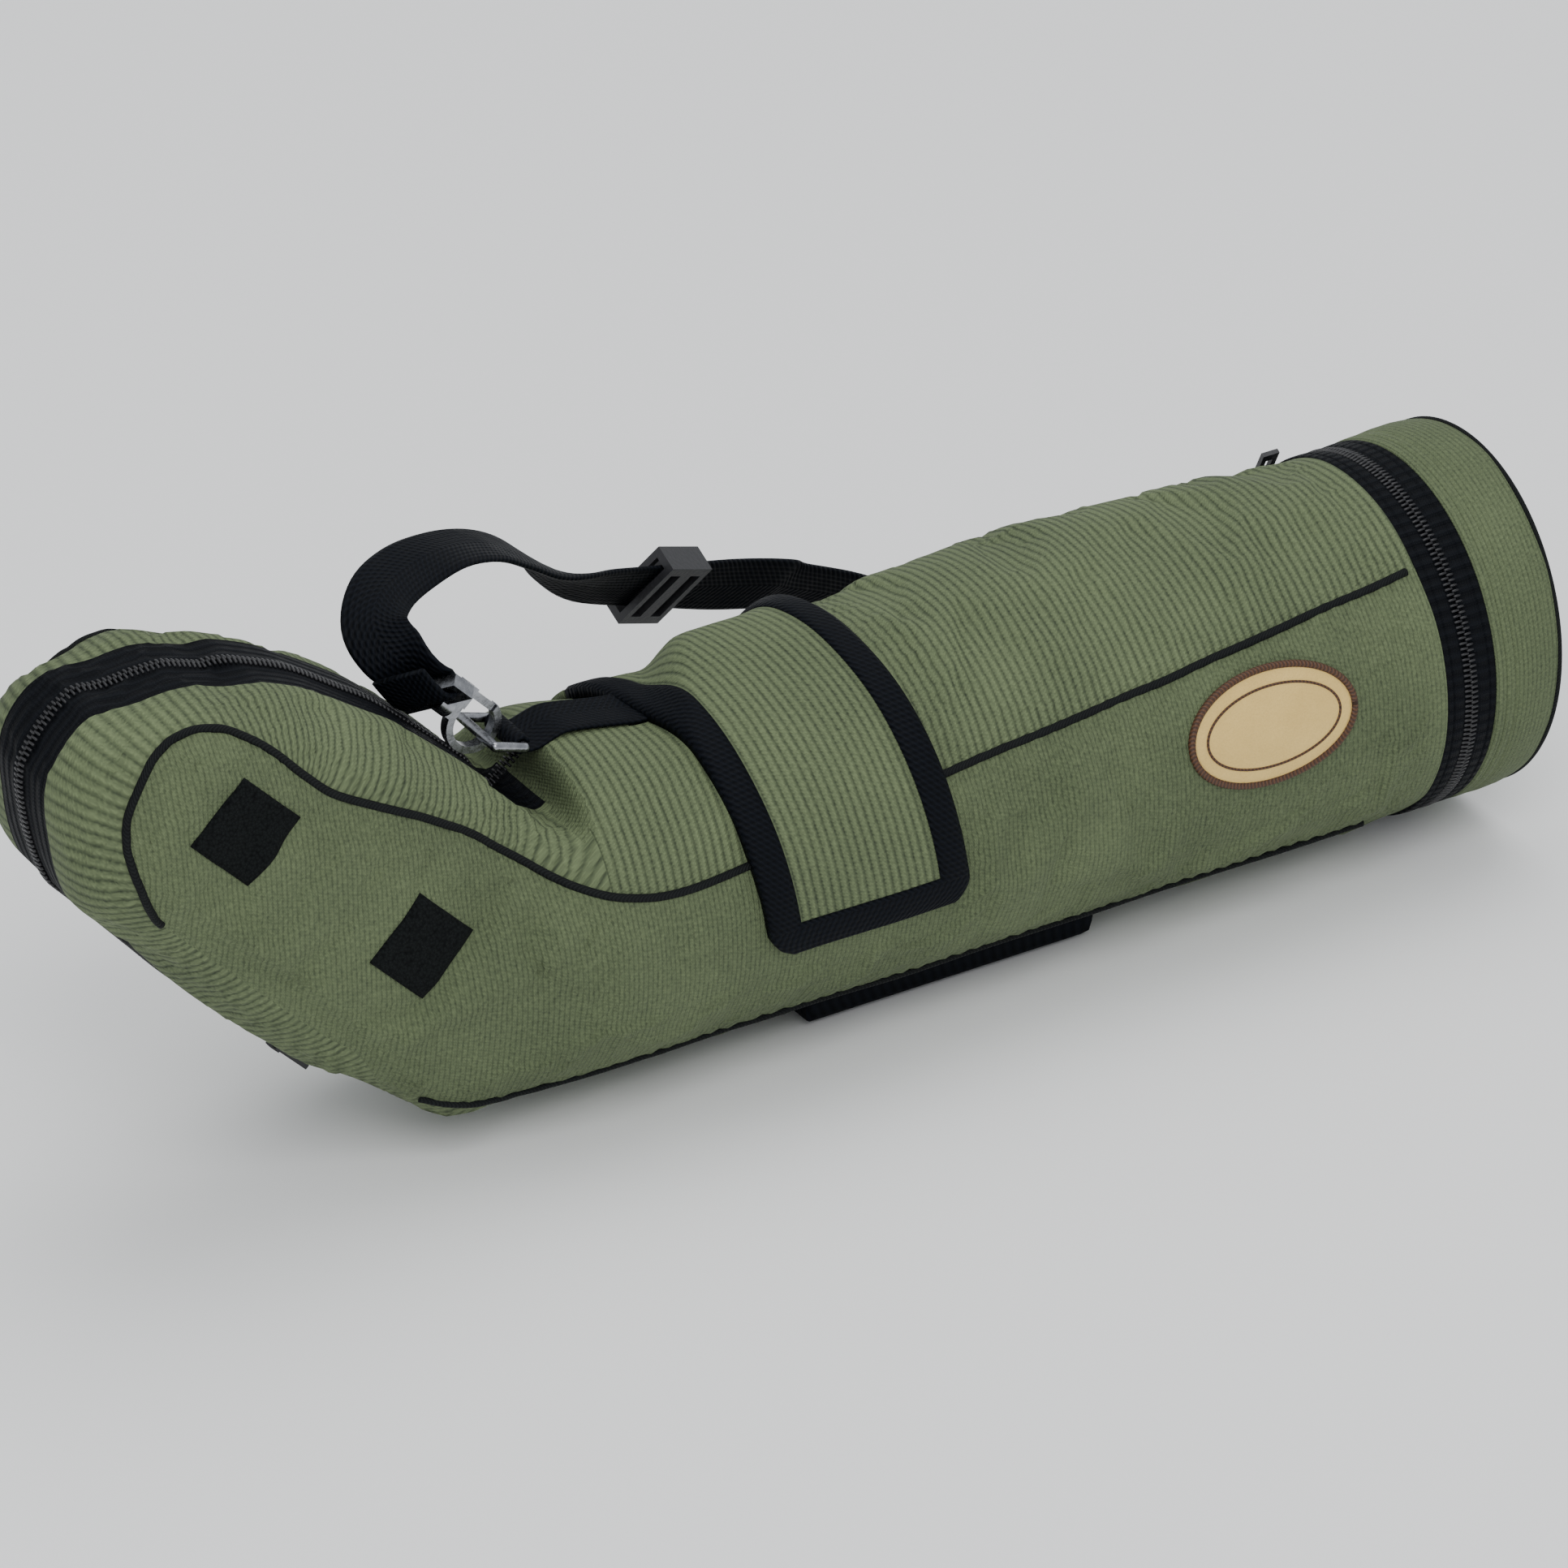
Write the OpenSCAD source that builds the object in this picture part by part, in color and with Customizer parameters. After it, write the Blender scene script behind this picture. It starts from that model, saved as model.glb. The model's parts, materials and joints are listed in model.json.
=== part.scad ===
// Angled spotting scope standing in its padded stay-on case, with shoulder strap.
// The origin is the mouth of the tripod socket, +X points at the view and +Z is up.

/* [Case tube] */
// Outside diameter of the padded tube
case_d = 116; // [112:1:124]
// How far the foot stands below the tube
foot_stand = 5.5; // [4:0.5:9]
// Thickness of the canvas panels
canvas_t = 2; // [1.5:0.1:2.5]
// Thickness of the foam liner
foam_t = 7; // [6:0.5:7.5]
// From the socket back to the end wall of the neck notch
neck_x = -128; // [-134:1:-124]
// From the socket forward to the front zip
front_zip_x = 162; // [158:1:176]
// Width of the front zip with its two tapes
zip_w = 18.5; // [16:0.5:24]
// Depth of the green part of the front lid
lid_depth = 26; // [22:1:32]
// Height of the side seams at the front zip, above the tube's centre line
seam_front_h = 42.5; // [36:0.5:46]
// Height of the side seams at the neck
seam_rear_h = 19.5; // [15:0.5:24]
// Depth of the bottom seams below the centre line
seam_low_h = 44; // [38:1:46]
// Diameter of the seam piping
piping_d = 2.6; // [2:0.1:3.2]

/* [Eyepiece cover] */
// Angle that the eyepiece rises from the tube
eyepiece_angle = 46.8; // [44:0.2:50]
// Half height of the cover
cover_h = 48; // [47:0.5:50]
// Half width of the cover
cover_w = 42; // [41:0.5:46]
// Radius of the cover's long corners
cover_corner = 22; // [18:1:24]
// How much lower the cover's top is at the fold than at the neck
cover_taper = 4; // [2:0.5:6]
// From the fixed patch to the fold line of each half
fold_u = 38; // [34:1:42]
// Thickness of the cover's padded wall
cover_t = 4; // [3:0.5:5]
// Width of the zip over the eyepiece
rear_zip_w = 30; // [24:1:34]
// Side of the square fastener patches
patch_side = 25; // [20:1:30]
// From the fixed patch to the patch on the moving half
patch_pitch = 76.5; // [72:0.5:78]

/* [Wrap flap] */
// Rear edge of the flap
flap_x0 = -88; // [-92:1:-80]
// Front edge of the flap
flap_x1 = -16; // [-24:1:-12]
// Angle of the free edge round the tube
flap_low_a = -9; // [-14:1:-2]
// Angle of the fold, past the top of the tube
flap_fold_a = 125; // [115:1:130]
// Angle where the flap is sewn into the far seam
flap_sewn_a = 160; // [150:1:165]
// Thickness of the flap
flap_t = 2.5; // [2:0.1:3]
// Width of the flap's binding
binding_w = 9; // [7:0.5:12]
// How far the flap is lifted over the focus knob
flap_lift = 2.6; // [2:0.1:4]

/* [Optics] */
// Outside diameter of the objective barrel
barrel_d = 96; // [92:1:97]
// Diameter of the objective lenses
lens_d = 85; // [80:0.5:86]
// Wall of the barrel and of the body tube
barrel_wall = 2.5; // [2:0.1:3]
// Outside diameter of the narrow body tube
body_d = 52; // [48:1:52]
// Length of the objective hood in front of the lens cell
hood_len = 17; // [14:1:18]

/* [Focus] */
// Diameter of the focus knob
knob_d = 33; // [28:1:33]
// Length of the focus knob
knob_len = 36; // [30:1:38]
// Height of the focus screw above the centre line
focus_h = 43; // [42.5:0.1:43.5]
// Diameter of the focus screw
screw_d = 6; // [5:0.5:6.5]
// Focusing travel to each side
focus_travel = 8; // [6:0.5:8]
// Diameter of the guide rods
rod_d = 4; // [3:0.5:4.5]

/* [Eyepiece] */
// Outside diameter of the eyepiece barrel
eye_d = 50; // [46:1:52]
// Outside diameter of the zoom ring
zoom_d = 62; // [58:1:64]
// Length of the zoom ring
zoom_len = 28; // [24:1:30]
// Outside diameter of the eyecup
cup_d = 58; // [54:1:60]

/* [Foot] */
// Length of the tripod foot
foot_len = 80; // [70:1:88]
// Width of the tripod foot
foot_w = 38; // [32:1:44]
// Radius of the threaded tripod socket
socket_r = 4; // [3.9:0.05:4.1]
// Depth of the threaded tripod socket
socket_depth = 12; // [9:0.5:14]
// Radius of the smaller threaded socket
small_socket_r = 2.6; // [2.5:0.05:2.7]
// Depth of the smaller socket and of the locating hole
small_depth = 9; // [7:0.5:10]
// Radius of the locating hole
locating_r = 2.2; // [2:0.1:2.4]
// Distance from the socket to the smaller socket and to the locating hole
socket_pitch = 22; // [18:1:24]
// How far the black surround reaches past the foot along the tube
surround_l = 14; // [10:1:18]
// How far the black surround reaches past the foot to each side
surround_w = 5; // [4:0.5:8]

/* [Strap and hardware] */
// Width of the strap webbing
strap_w = 20; // [20:1:20]
// Thickness of the strap webbing
strap_t = 2; // [1.6:0.1:2]
// Diameter of the ring wire
wire_d = 3; // [2.6:0.1:3.2]
// Half length of a ring along its bar
ring_w = 12; // [11:0.5:14]
// Length of a ring from its bar to its far wire
ring_l = 10.3; // [10:0.1:10.8]

/* [Fits] */
// Radial clearance of a running fit
run = 0.05; // [0.02:0.01:0.1]
// Gap between pieces that move past each other
gap = 0.4; // [0.3:0.05:0.6]

/* [Hidden] */

green = "#73824f";
black = "#16181b";
steel = "#b9bdc2";
plastic = "#24262a";
armour = "#5c6650";
foam = "#4b4e50";
cream = "#e6c687";
brown = "#5a3b22";
rubber = "#1c1d1f";
optical = "#9fc6cf";

case_r = case_d / 2;
axis_h = case_r + foot_stand;
inner_r = case_r - canvas_t;
foam_r = inner_r - foam_t;
front_zip_mid = front_zip_x + zip_w / 2;
front_zip_end = front_zip_x + zip_w;
lid_end = front_zip_end + lid_depth;
barrel_r = barrel_d / 2;
lens_r = lens_d / 2;
body_r = body_d / 2;
body_bore = body_r - barrel_wall;
fine = 96;
soft = 28;
big = 400;

// ---------- frames and helpers ----------

// The frame of the tube: its centre line at height zero.
module on_axis() {
    translate([0, 0, axis_h]) children();
}

// A round solid about the tube's centre line from x0 to x1.
module along(x0, x1, r, r_end = 0) {
    translate([x0, 0, 0])
        rotate([0, 90, 0])
            cylinder(h = x1 - x0, r1 = r, r2 = r_end == 0 ? r : r_end, $fn = fine);
}

// A round wall about the tube's centre line.
module ring_wall(x0, x1, r_out, r_in) {
    difference() {
        along(x0, x1, r_out);
        along(x0 - 1, x1 + 1, r_in);
    }
}

// An outline in the X-Z plane, as thick as w across.
module side_prism(points, w = 2 * big) {
    rotate([90, 0, 0])
        translate([0, 0, -w / 2])
            linear_extrude(w) polygon(points);
}

// A body of revolution about X, its outline given as [x, radius] points.
module turned(points) {
    rotate([0, 90, 0])
        rotate_extrude($fn = fine) polygon([for (p = points) [p[1], p[0]]]);
}

// A body of revolution about the eyepiece's axis, its outline as [radius, u] points.
module turned_up(points) {
    rotate_extrude($fn = fine) polygon(points);
}

// Everything beyond a ray at angle a, up to angle b, round the tube (0 is -Y, 90 is +Z).
module wedge(a, b) {
    steps = ceil((b - a) / 45);
    rotate([90, 0, 90])
        translate([0, 0, -big])
            linear_extrude(2 * big)
                polygon(concat([[0, 0]], [for (i = [0 : steps])
                    let (t = a + (b - a) * i / steps) [-big * cos(t), big * sin(t)]]));
}

// The frame of the eyepiece: u along +Z, v along +X, Y across. Its origin is between
// the fixed patches.
patch_x = -188;
patch_z = 22.4;
module eyepiece_frame() {
    on_axis()
        translate([patch_x, 0, patch_z])
            rotate([0, eyepiece_angle - 90, 0]) children();
}

// A slab of the eyepiece frame: v from v0 to v1, u from u0 to u1, y from y0 to y1.
module block_uv(u0, u1, v0, v1, y0 = -big, y1 = big) {
    translate([v0, y0, u0]) cube([v1 - v0, y1 - y0, u1 - u0]);
}

// ---------- closed outer forms of the case ----------

// Flat ground round the fixed patches.
patch_margin = 1.5;
flat_u = -patch_side / 2 - patch_margin;
heel_r = 22;
heel_x = -168;
heel_half = 22;
heel_lift = 8;
disc_t = 2;
// Rear part of the case from the tube to the fold line, grown by g.
module rear_form(g = 0) {
    eyepiece_frame()
        hull() {
            cover_section(flat_u, g);
            cover_section(fold_u - 1, g);
        }
    hull() {
        intersection() {
            on_axis() along(neck_x - 0.01, neck_x + disc_t, case_r + g);
            eyepiece_frame() block_uv(-big, big, -big, cover_h + 1 + g);
        }
        eyepiece_frame() cover_section(flat_u, g);
        for (s = [-1, 1])
            on_axis()
                translate([heel_x, s * heel_half, heel_lift + heel_r - case_r])
                    sphere(r = heel_r + g, $fn = soft);
    }
}

// A rounded slice of the cover at u, 1 thick.
module cover_section(u, g) {
    top = cover_h - cover_taper * (u - flat_u) / (fold_u - flat_u);
    for (s = [-1, 1], v = [cover_corner - cover_h, top - cover_corner])
        translate([v, s * (cover_w - cover_corner), u])
            cylinder(h = 1, r = cover_corner + g, $fn = soft);
}

// Rounded end of the cover: [u, v, half width, radius] of the balls it is stretched over.
end_balls = [[62, 14, 18, 24], [92, 3, 20, 22], [104, -12, 14, 22], [88, -27, 22, 20]];
module cover_form(g = 0) {
    hull() {
        cover_section(fold_u, g);
        for (b = end_balls, s = [-1, 1])
            translate([b[1], s * b[2], b[0]]) sphere(r = b[3] + g, $fn = soft);
    }
}

// Height of the side seam above the centre line at x.
function seam_h(x) =
    seam_rear_h + (seam_front_h - seam_rear_h) * max(0, x - neck_x) / (front_zip_x - neck_x);

// Everything above the side seams over the tube, moved up by up.
module above_seam(up = 0) {
    on_axis() side_prism([[neck_x - 1, seam_h(neck_x) + up], [front_zip_x + 1, seam_h(front_zip_x) + up],
        [front_zip_x + 1, big], [neck_x - 1, big]]);
}

// Everything below the bottom seams over the tube, moved up by up.
module below_seam(up = 0) {
    on_axis() side_prism([[neck_x - 1, -big], [front_zip_x + 1, -big],
        [front_zip_x + 1, up - seam_low_h], [neck_x - 1, up - seam_low_h]]);
}

// The strips over and under the side panels of the eyepiece part, moved by up.
gusset_v = 37.5;
gusset_slope = 0.13;
gusset_low = 38;
module above_gusset(up = 0) {
    side_far = 140;
    rotate([90, 0, 0])
        translate([0, 0, -big])
            linear_extrude(2 * big)
                polygon([[gusset_v + up + gusset_slope * side_far, -side_far],
                    [gusset_v + up - gusset_slope * side_far, side_far], [big, side_far], [big, -side_far]]);
}
module below_gusset(up = 0) {
    block_uv(-big, big, -big, up - gusset_low);
}

// ---------- case: fixed pieces ----------

knob_x0 = -66;
window_margin = 4;
window_half = 23;
foot_margin = 3;

// The opening over the focus knob, through the top panel and the foam.
module knob_window() {
    on_axis()
        translate([knob_x0 - window_margin, -window_half, 0])
            cube([knob_len + 2 * window_margin, 2 * window_half, big]);
}

// The opening round the foot, grown by g, through the base panel and the foam.
module foot_window(g) {
    translate([-foot_len / 2 - g, -foot_w / 2 - g, -1])
        cube([foot_len + 2 * g, foot_w + 2 * g, axis_h + 1]);
}

module tube_canvas() {
    on_axis() ring_wall(neck_x, front_zip_x, case_r, inner_r);
}

module rear_shell() {
    difference() {
        rear_form();
        rear_form(-cover_t);
        on_axis() along(neck_x, neck_x + 2 * disc_t + 1, case_r + 1);
        eyepiece_frame() block_uv(fold_u - gap / 2, big, -big, big);
        on_axis() along(neck_x - 2 * cover_t, neck_x + 1, inner_r - cover_t);
    }
}

module top_panel() {
    color(green)
        difference() {
            intersection() {
                tube_canvas();
                above_seam(piping_d / 2);
            }
            knob_window();
        }
}

module base_panel() {
    color(green)
        difference() {
            intersection() {
                tube_canvas();
                below_seam(-piping_d / 2);
            }
            foot_window(foot_margin);
        }
}

module side_panel(s) {
    difference() {
        intersection() {
            tube_canvas();
            translate([-big, s < 0 ? -big : 0, -big]) cube([2 * big, big, 2 * big]);
        }
        above_seam(-piping_d / 2);
        below_seam(piping_d / 2);
    }
    difference() {
        intersection() {
            rear_shell();
            translate([-big, s < 0 ? -big : 0, -big]) cube([2 * big, big, 2 * big]);
        }
        eyepiece_frame() above_gusset(-piping_d / 2);
        eyepiece_frame() below_gusset(piping_d / 2);
        on_axis() translate([-big, -big, -case_r - 1]) cube([2 * big, 2 * big, case_r + 1 - seam_low_h]);
    }
}

module right_side_panel() {
    color(green) side_panel(-1);
}

module left_side_panel() {
    color(green) side_panel(1);
}

// The foam is glued to the canvas.
glue_t = 0.1;
module foam_liner() {
    color(foam)
        difference() {
            on_axis() ring_wall(neck_x + gap, front_zip_x, inner_r - glue_t, foam_r);
            knob_window();
            foot_window(foot_margin);
        }
}

// The upright end wall of the tube over the neck notch.
notch_clear = 0.5;
module notch_wall() {
    color(green)
        difference() {
            on_axis() along(neck_x - canvas_t, neck_x, case_r);
            eyepiece_frame() block_uv(-big, big, -big, cover_h + 1 + notch_clear);
        }
}

// The strips over, and the heel under, the side panels between the tube and the fold.
module neck_gussets() {
    color(green)
        difference() {
            intersection() {
                rear_shell();
                union() {
                    eyepiece_frame() above_gusset(piping_d / 2);
                    eyepiece_frame() below_gusset(-piping_d / 2);
                    on_axis() translate([-big, -big, -big]) cube([2 * big, 2 * big, big - seam_low_h - piping_d]);
                }
            }
            eyepiece_frame() block_uv(zip_start_u, big, -big, big, -rear_zip_w / 2, rear_zip_w / 2);
        }
}

// The part of the rear zip's tapes that is sewn to the fixed gussets.
zip_start_u = -34;
module rear_zip_fixed_tape() {
    color(black)
        intersection() {
            rear_shell();
            eyepiece_frame()
                block_uv(zip_start_u + gap, big, -big, big, gap - rear_zip_w / 2, rear_zip_w / 2 - gap);
        }
}

// Piping in the slots between the panels.
module seam_piping() {
    slot = piping_d / 2 - 0.05;
    color(black) {
        difference() {
            intersection() {
                on_axis() ring_wall(neck_x, front_zip_x, case_r + 0.6, inner_r);
                above_seam(-slot);
            }
            above_seam(slot);
            flap_path();
        }
        difference() {
            intersection() {
                tube_canvas();
                below_seam(slot);
            }
            below_seam(-slot);
        }
    }
}

// Room that the closed flap, its fold and its anchor take over the tube.
module flap_path() {
    on_axis() translate([flap_x0 - 1, -big, -big]) cube([flap_x1 - flap_x0 + 2, 2 * big, 2 * big]);
}

module front_zip_tape() {
    color(black) on_axis() ring_wall(front_zip_x, front_zip_mid - gap / 2, case_r, inner_r);
}

surround_z = 3;
module foot_surround() {
    color(black)
        difference() {
            translate([-foot_len / 2 - surround_l, -foot_w / 2 - surround_w, surround_z])
                cube([foot_len + 2 * surround_l, foot_w + 2 * surround_w, axis_h / 2]);
            foot_window(foot_margin);
            on_axis() along(-big, big, case_r + 0.02);
        }
}

badge_x = 99;
badge_a = 14.5;
badge_l = 30;
badge_h = 18.5;
badge_t = 1.2;
badge_gap = 0.06;
rim_w = 2;

// A curved oval plate lying on the tube, grown by g, between two radii.
module oval_plate(g, r_in, r_out) {
    on_axis()
        intersection() {
            ring_wall(badge_x - big / 4, badge_x + big / 4, r_out, r_in);
            rotate([90 - badge_a, 0, 0])
                translate([badge_x, 0, case_r / 2])
                    scale([1, (badge_h + g) / (badge_l + g), 1])
                        cylinder(h = case_r, r = badge_l + g, $fn = fine);
        }
}

module badge() {
    color(cream) oval_plate(-rim_w - badge_gap, case_r + 0.02, case_r + badge_t);
}

module badge_rim() {
    color(brown)
        difference() {
            oval_plate(0, case_r + 0.02, case_r + badge_t + 0.3);
            oval_plate(-rim_w, case_r - 1, case_r + badge_t + 1);
        }
}

// One square fastener patch on side s at (u, v), standing on the cover's flat side.
patch_t = 1.2;
patch_drop = 2;
module square_patch(s, u, v = 0) {
    side = patch_side / 2;
    y_in = s < 0 ? -cover_w - patch_t : cover_w + 0.02;
    block_uv(u - side, u + side, v - side, v + side, y_in, y_in + patch_t - 0.02);
}

module fixed_patches() {
    color(black)
        eyepiece_frame()
            for (s = [-1, 1]) square_patch(s, 0);
}

module flap_hook_patch() {
    color(black)
        on_axis()
            intersection() {
                ring_wall(flap_x0 + binding_w + 8, flap_x1 - binding_w - 8, case_r + 0.8, case_r + 0.02);
                wedge(flap_low_a + 6, flap_low_a + 24);
            }
}

// ---------- case: wrap flap ----------

flap_r = case_r + 0.8 + gap;

// A band of the flap round its own centre, from angle a to angle b.
module flap_band(x0, x1, a, b, r_in, r_out) {
    on_axis()
        translate([0, 0, flap_lift])
            intersection() {
                ring_wall(x0, x1, r_out, r_in);
                wedge(a, b);
            }
}

module wrap_flap() {
    edge = binding_w / flap_r * 180 / PI;
    color(green)
        flap_band(flap_x0 + binding_w, flap_x1 - binding_w, flap_low_a + edge, flap_fold_a, flap_r, flap_r + flap_t);
}

module flap_binding() {
    edge = binding_w / flap_r * 180 / PI;
    color(black)
        difference() {
            flap_band(flap_x0, flap_x1, flap_low_a, flap_fold_a, flap_r, flap_r + flap_t + 0.4);
            flap_band(flap_x0 + binding_w, flap_x1 - binding_w, flap_low_a + edge, flap_fold_a + 5,
                flap_r - 1, flap_r + 2 * flap_t);
        }
}

// The sewn end of the flap on the far side, between the fold and the seam.
module flap_anchor() {
    color(green)
        difference() {
            flap_band(flap_x0, flap_x1, flap_fold_a + 1.5, flap_sewn_a, flap_r, flap_r + flap_t);
            on_axis() along(-big, big, case_r + 0.02);
        }
}

// ---------- case: front lid ----------

module front_lid() {
    color(green)
        on_axis() {
            ring_wall(front_zip_end, lid_end - cover_t, case_r, case_r - cover_t);
            along(lid_end - cover_t, lid_end, case_r);
        }
}

module lid_zip_tape() {
    color(black) on_axis() ring_wall(front_zip_mid + gap / 2, front_zip_end, case_r, case_r - cover_t);
}

// ---------- case: eyepiece cover halves ----------

zip_gap = 0.3;
module cover_shell(s) {
    difference() {
        cover_form();
        cover_form(-cover_t);
        block_uv(-big, fold_u + gap / 2, -big, big);
        translate([-big, s < 0 ? -zip_gap / 2 : -big, -big])
            cube([2 * big, s < 0 ? big : big + zip_gap / 2, 2 * big]);
    }
}

module cover_cloth(s) {
    color(green)
        eyepiece_frame()
            difference() {
                cover_shell(s);
                translate([-big, -rear_zip_w / 2, -big]) cube([2 * big, rear_zip_w, 2 * big]);
            }
}

module cover_tape(s) {
    color(black)
        eyepiece_frame()
            intersection() {
                cover_shell(s);
                translate([-big, 0.05 - rear_zip_w / 2, -big]) cube([2 * big, rear_zip_w - 0.1, 2 * big]);
            }
}

module right_cover() {
    cover_cloth(-1);
}

module left_cover() {
    cover_cloth(1);
}

module right_cover_tape() {
    cover_tape(-1);
}

module left_cover_tape() {
    cover_tape(1);
}

module right_cover_patch() {
    color(black) eyepiece_frame() square_patch(-1, patch_pitch, -patch_drop);
}

module left_cover_patch() {
    color(black) eyepiece_frame() square_patch(1, patch_pitch, -patch_drop);
}

// ---------- case: zip sliders ----------

slider_len = 12;
slider_w = 8;
slider_t = 3;
pull_t = 1.6;
pull_len = 13;

// A zip slider with its pull folded flat: X along the zip, Z out of the tape.
module zip_slider() {
    translate([-slider_len / 2, -slider_w / 2, 0]) cube([slider_len, slider_w, slider_t]);
    translate([-2, -1.5, slider_t - 1]) cube([4, 3, pull_t + 2]);
    difference() {
        translate([-pull_len, 1 - slider_w / 2, slider_t + gap]) cube([pull_len + 1, slider_w - 2, pull_t]);
        translate([3 - pull_len, -1.2, slider_t]) cube([5, 2.4, 3 * pull_t]);
    }
}

// The flat slider stands a little off the round tape.
slider_lift = 0.9;
front_slider_a = 152;
module front_zip_slider() {
    color(plastic)
        on_axis()
            rotate([90 - front_slider_a, 0, 0])
                translate([front_zip_mid - slider_w / 2 - gap, 0, case_r + slider_lift])
                    rotate([0, 0, 90]) zip_slider();
}

rear_slider_u = -16;
module rear_zip_slider() {
    color(plastic)
        eyepiece_frame()
            translate([-cover_h - gap, 0, rear_slider_u])
                rotate([0, -90, 0]) zip_slider();
}

// ---------- hardware ----------

bar_r = wire_d / 2;

// A ring bent from wire: the bar lies on Y at the origin, and the far wire hangs at -Z.
module wire_ring() {
    reach = ring_w - bar_r;
    for (z = [0, -ring_l])
        translate([0, -reach, z])
            rotate([-90, 0, 0]) cylinder(h = 2 * reach, r = bar_r, $fn = soft);
    for (s = [-1, 1]) {
        translate([0, s * reach, -ring_l]) cylinder(h = ring_l, r = bar_r, $fn = soft);
        for (z = [0, -ring_l])
            translate([0, s * reach, z]) sphere(r = bar_r, $fn = soft);
    }
}

// Snap hook: loop centre at the origin, hole along Y, shank and strap eye along +Z.
hook_in = 7;
hook_out = 9.3;
hook_t = 3.6;
pivot_x = 7.4;
pivot_z = 8.6;
pin_r = 0.8;
gate_r = 2;
shank_end = 12;
eye_in = strap_w + 1;
eye_bar = 2;
eye_gap = 4.6;

module snap_hook(turn) {
    difference() {
        union() {
            rotate([90, 0, 0])
                translate([0, 0, -hook_t / 2])
                    linear_extrude(hook_t)
                        difference() {
                            circle(r = hook_out, $fn = fine);
                            circle(r = hook_in, $fn = fine);
                            translate([0.5, -2.6]) square([hook_out, hook_out + 3]);
                        }
            translate([-3, -hook_t / 2, hook_in + 0.2]) cube([7, hook_t, shank_end - hook_in - 0.2]);
            translate([2, -hook_t / 2, pivot_z - 2]) cube([pivot_x, hook_t, shank_end + 2 - pivot_z]);
            translate([0, 0, shank_end - 1]) cylinder(h = eye_bar + 3, r = 3.6, $fn = soft);
        }
        translate([2.2, -1 - gap / 2, pivot_z - 3]) cube([hook_out, 2 + gap, 3 + gate_r + gap]);
    }
    translate([pivot_x, hook_t / 2 - 0.2, pivot_z])
        rotate([90, 0, 0]) cylinder(h = hook_t - 0.4, r = pin_r, $fn = soft);
    rotate([0, 0, turn])
        translate([0, 0, shank_end + 2.2])
            difference() {
                translate([-eye_bar, -eye_in / 2 - eye_bar, 0])
                    cube([2 * eye_bar, eye_in + 2 * eye_bar, eye_gap + 2 * eye_bar]);
                translate([-big, -eye_in / 2, eye_bar]) cube([2 * big, eye_in, eye_gap]);
            }
}

module hook_gate() {
    difference() {
        union() {
            translate([pivot_x, 1, pivot_z])
                rotate([90, 0, 0]) cylinder(h = 2, r = gate_r, $fn = soft);
            translate([pivot_x - 1.2, -1, -2.1]) cube([2.4, 2, pivot_z + 2.1]);
        }
        translate([pivot_x, 2, pivot_z])
            rotate([90, 0, 0]) cylinder(h = 4, r = pin_r + run, $fn = soft);
    }
}

rear_hook_u = 0.5;
rear_hook_v = 58.8;
rear_eye_turn = 40;
module at_rear_hook() {
    eyepiece_frame() translate([rear_hook_v, 0, rear_hook_u]) children();
}

front_ring_x = 130;
front_hook_y = case_r + hook_out + 0.3;
front_hook_z = -7.4;
module at_front_hook() {
    on_axis() translate([front_ring_x, front_hook_y, front_hook_z]) rotate([180, 0, 90]) children();
}

module rear_hook() {
    color(steel) at_rear_hook() snap_hook(rear_eye_turn);
}

module front_hook() {
    color(steel) at_front_hook() snap_hook(0);
}

module rear_gate() {
    color(steel) at_rear_hook() hook_gate();
}

module front_gate() {
    color(steel) at_front_hook() hook_gate();
}

// Rear ring: its bar lies in the webbing loop just behind the top of the tube.
rear_bar_x = neck_x - canvas_t - 3.6;
rear_bar_z = 56;
rear_ring_tilt = 108.3;
module rear_ring() {
    color(steel)
        on_axis()
            translate([rear_bar_x, 0, rear_bar_z])
                rotate([0, rear_ring_tilt, 0]) wire_ring();
}

front_bar_z = 6;
front_bar_y = case_r + 3.6 + 0.4;
front_ring_tilt = -12;
module front_ring() {
    color(steel)
        on_axis()
            translate([front_ring_x, front_bar_y, front_bar_z])
                rotate([0, 0, 90])
                    rotate([0, front_ring_tilt, 0]) wire_ring();
}

// A webbing loop round a ring's bar, the bar on Y at the origin.
webbing_t = 1.8;
loop_w = 18;
module webbing_loop() {
    rotate([90, 0, 0])
        translate([0, 0, -loop_w / 2])
            linear_extrude(loop_w)
                difference() {
                    circle(r = bar_r + run + webbing_t, $fn = fine);
                    circle(r = bar_r + run, $fn = fine);
                }
}

neck_webbing_end = -66;
module neck_webbing() {
    color(black)
        on_axis() {
            translate([rear_bar_x, 0, rear_bar_z]) webbing_loop();
            difference() {
                translate([rear_bar_x, -loop_w / 2, case_r + 0.05])
                    cube([neck_webbing_end - rear_bar_x, loop_w, webbing_t]);
                translate([rear_bar_x, 0, rear_bar_z])
                    rotate([90, 0, 0])
                        translate([0, 0, -loop_w])
                            cylinder(h = 2 * loop_w, r = bar_r + run + webbing_t / 2, $fn = fine);
            }
        }
}

tab_h = 18;
module front_ring_tab() {
    color(black)
        on_axis() {
            translate([front_ring_x, front_bar_y, front_bar_z]) rotate([0, 0, 90]) webbing_loop();
            difference() {
                translate([front_ring_x - loop_w / 2, case_r + 0.05, front_bar_z])
                    cube([loop_w, webbing_t, tab_h]);
                translate([front_ring_x, front_bar_y, front_bar_z])
                    rotate([0, 90, 0])
                        translate([0, 0, -loop_w])
                            cylinder(h = 2 * loop_w, r = bar_r + run + webbing_t / 2, $fn = fine);
            }
        }
}

// ---------- strap ----------

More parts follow.
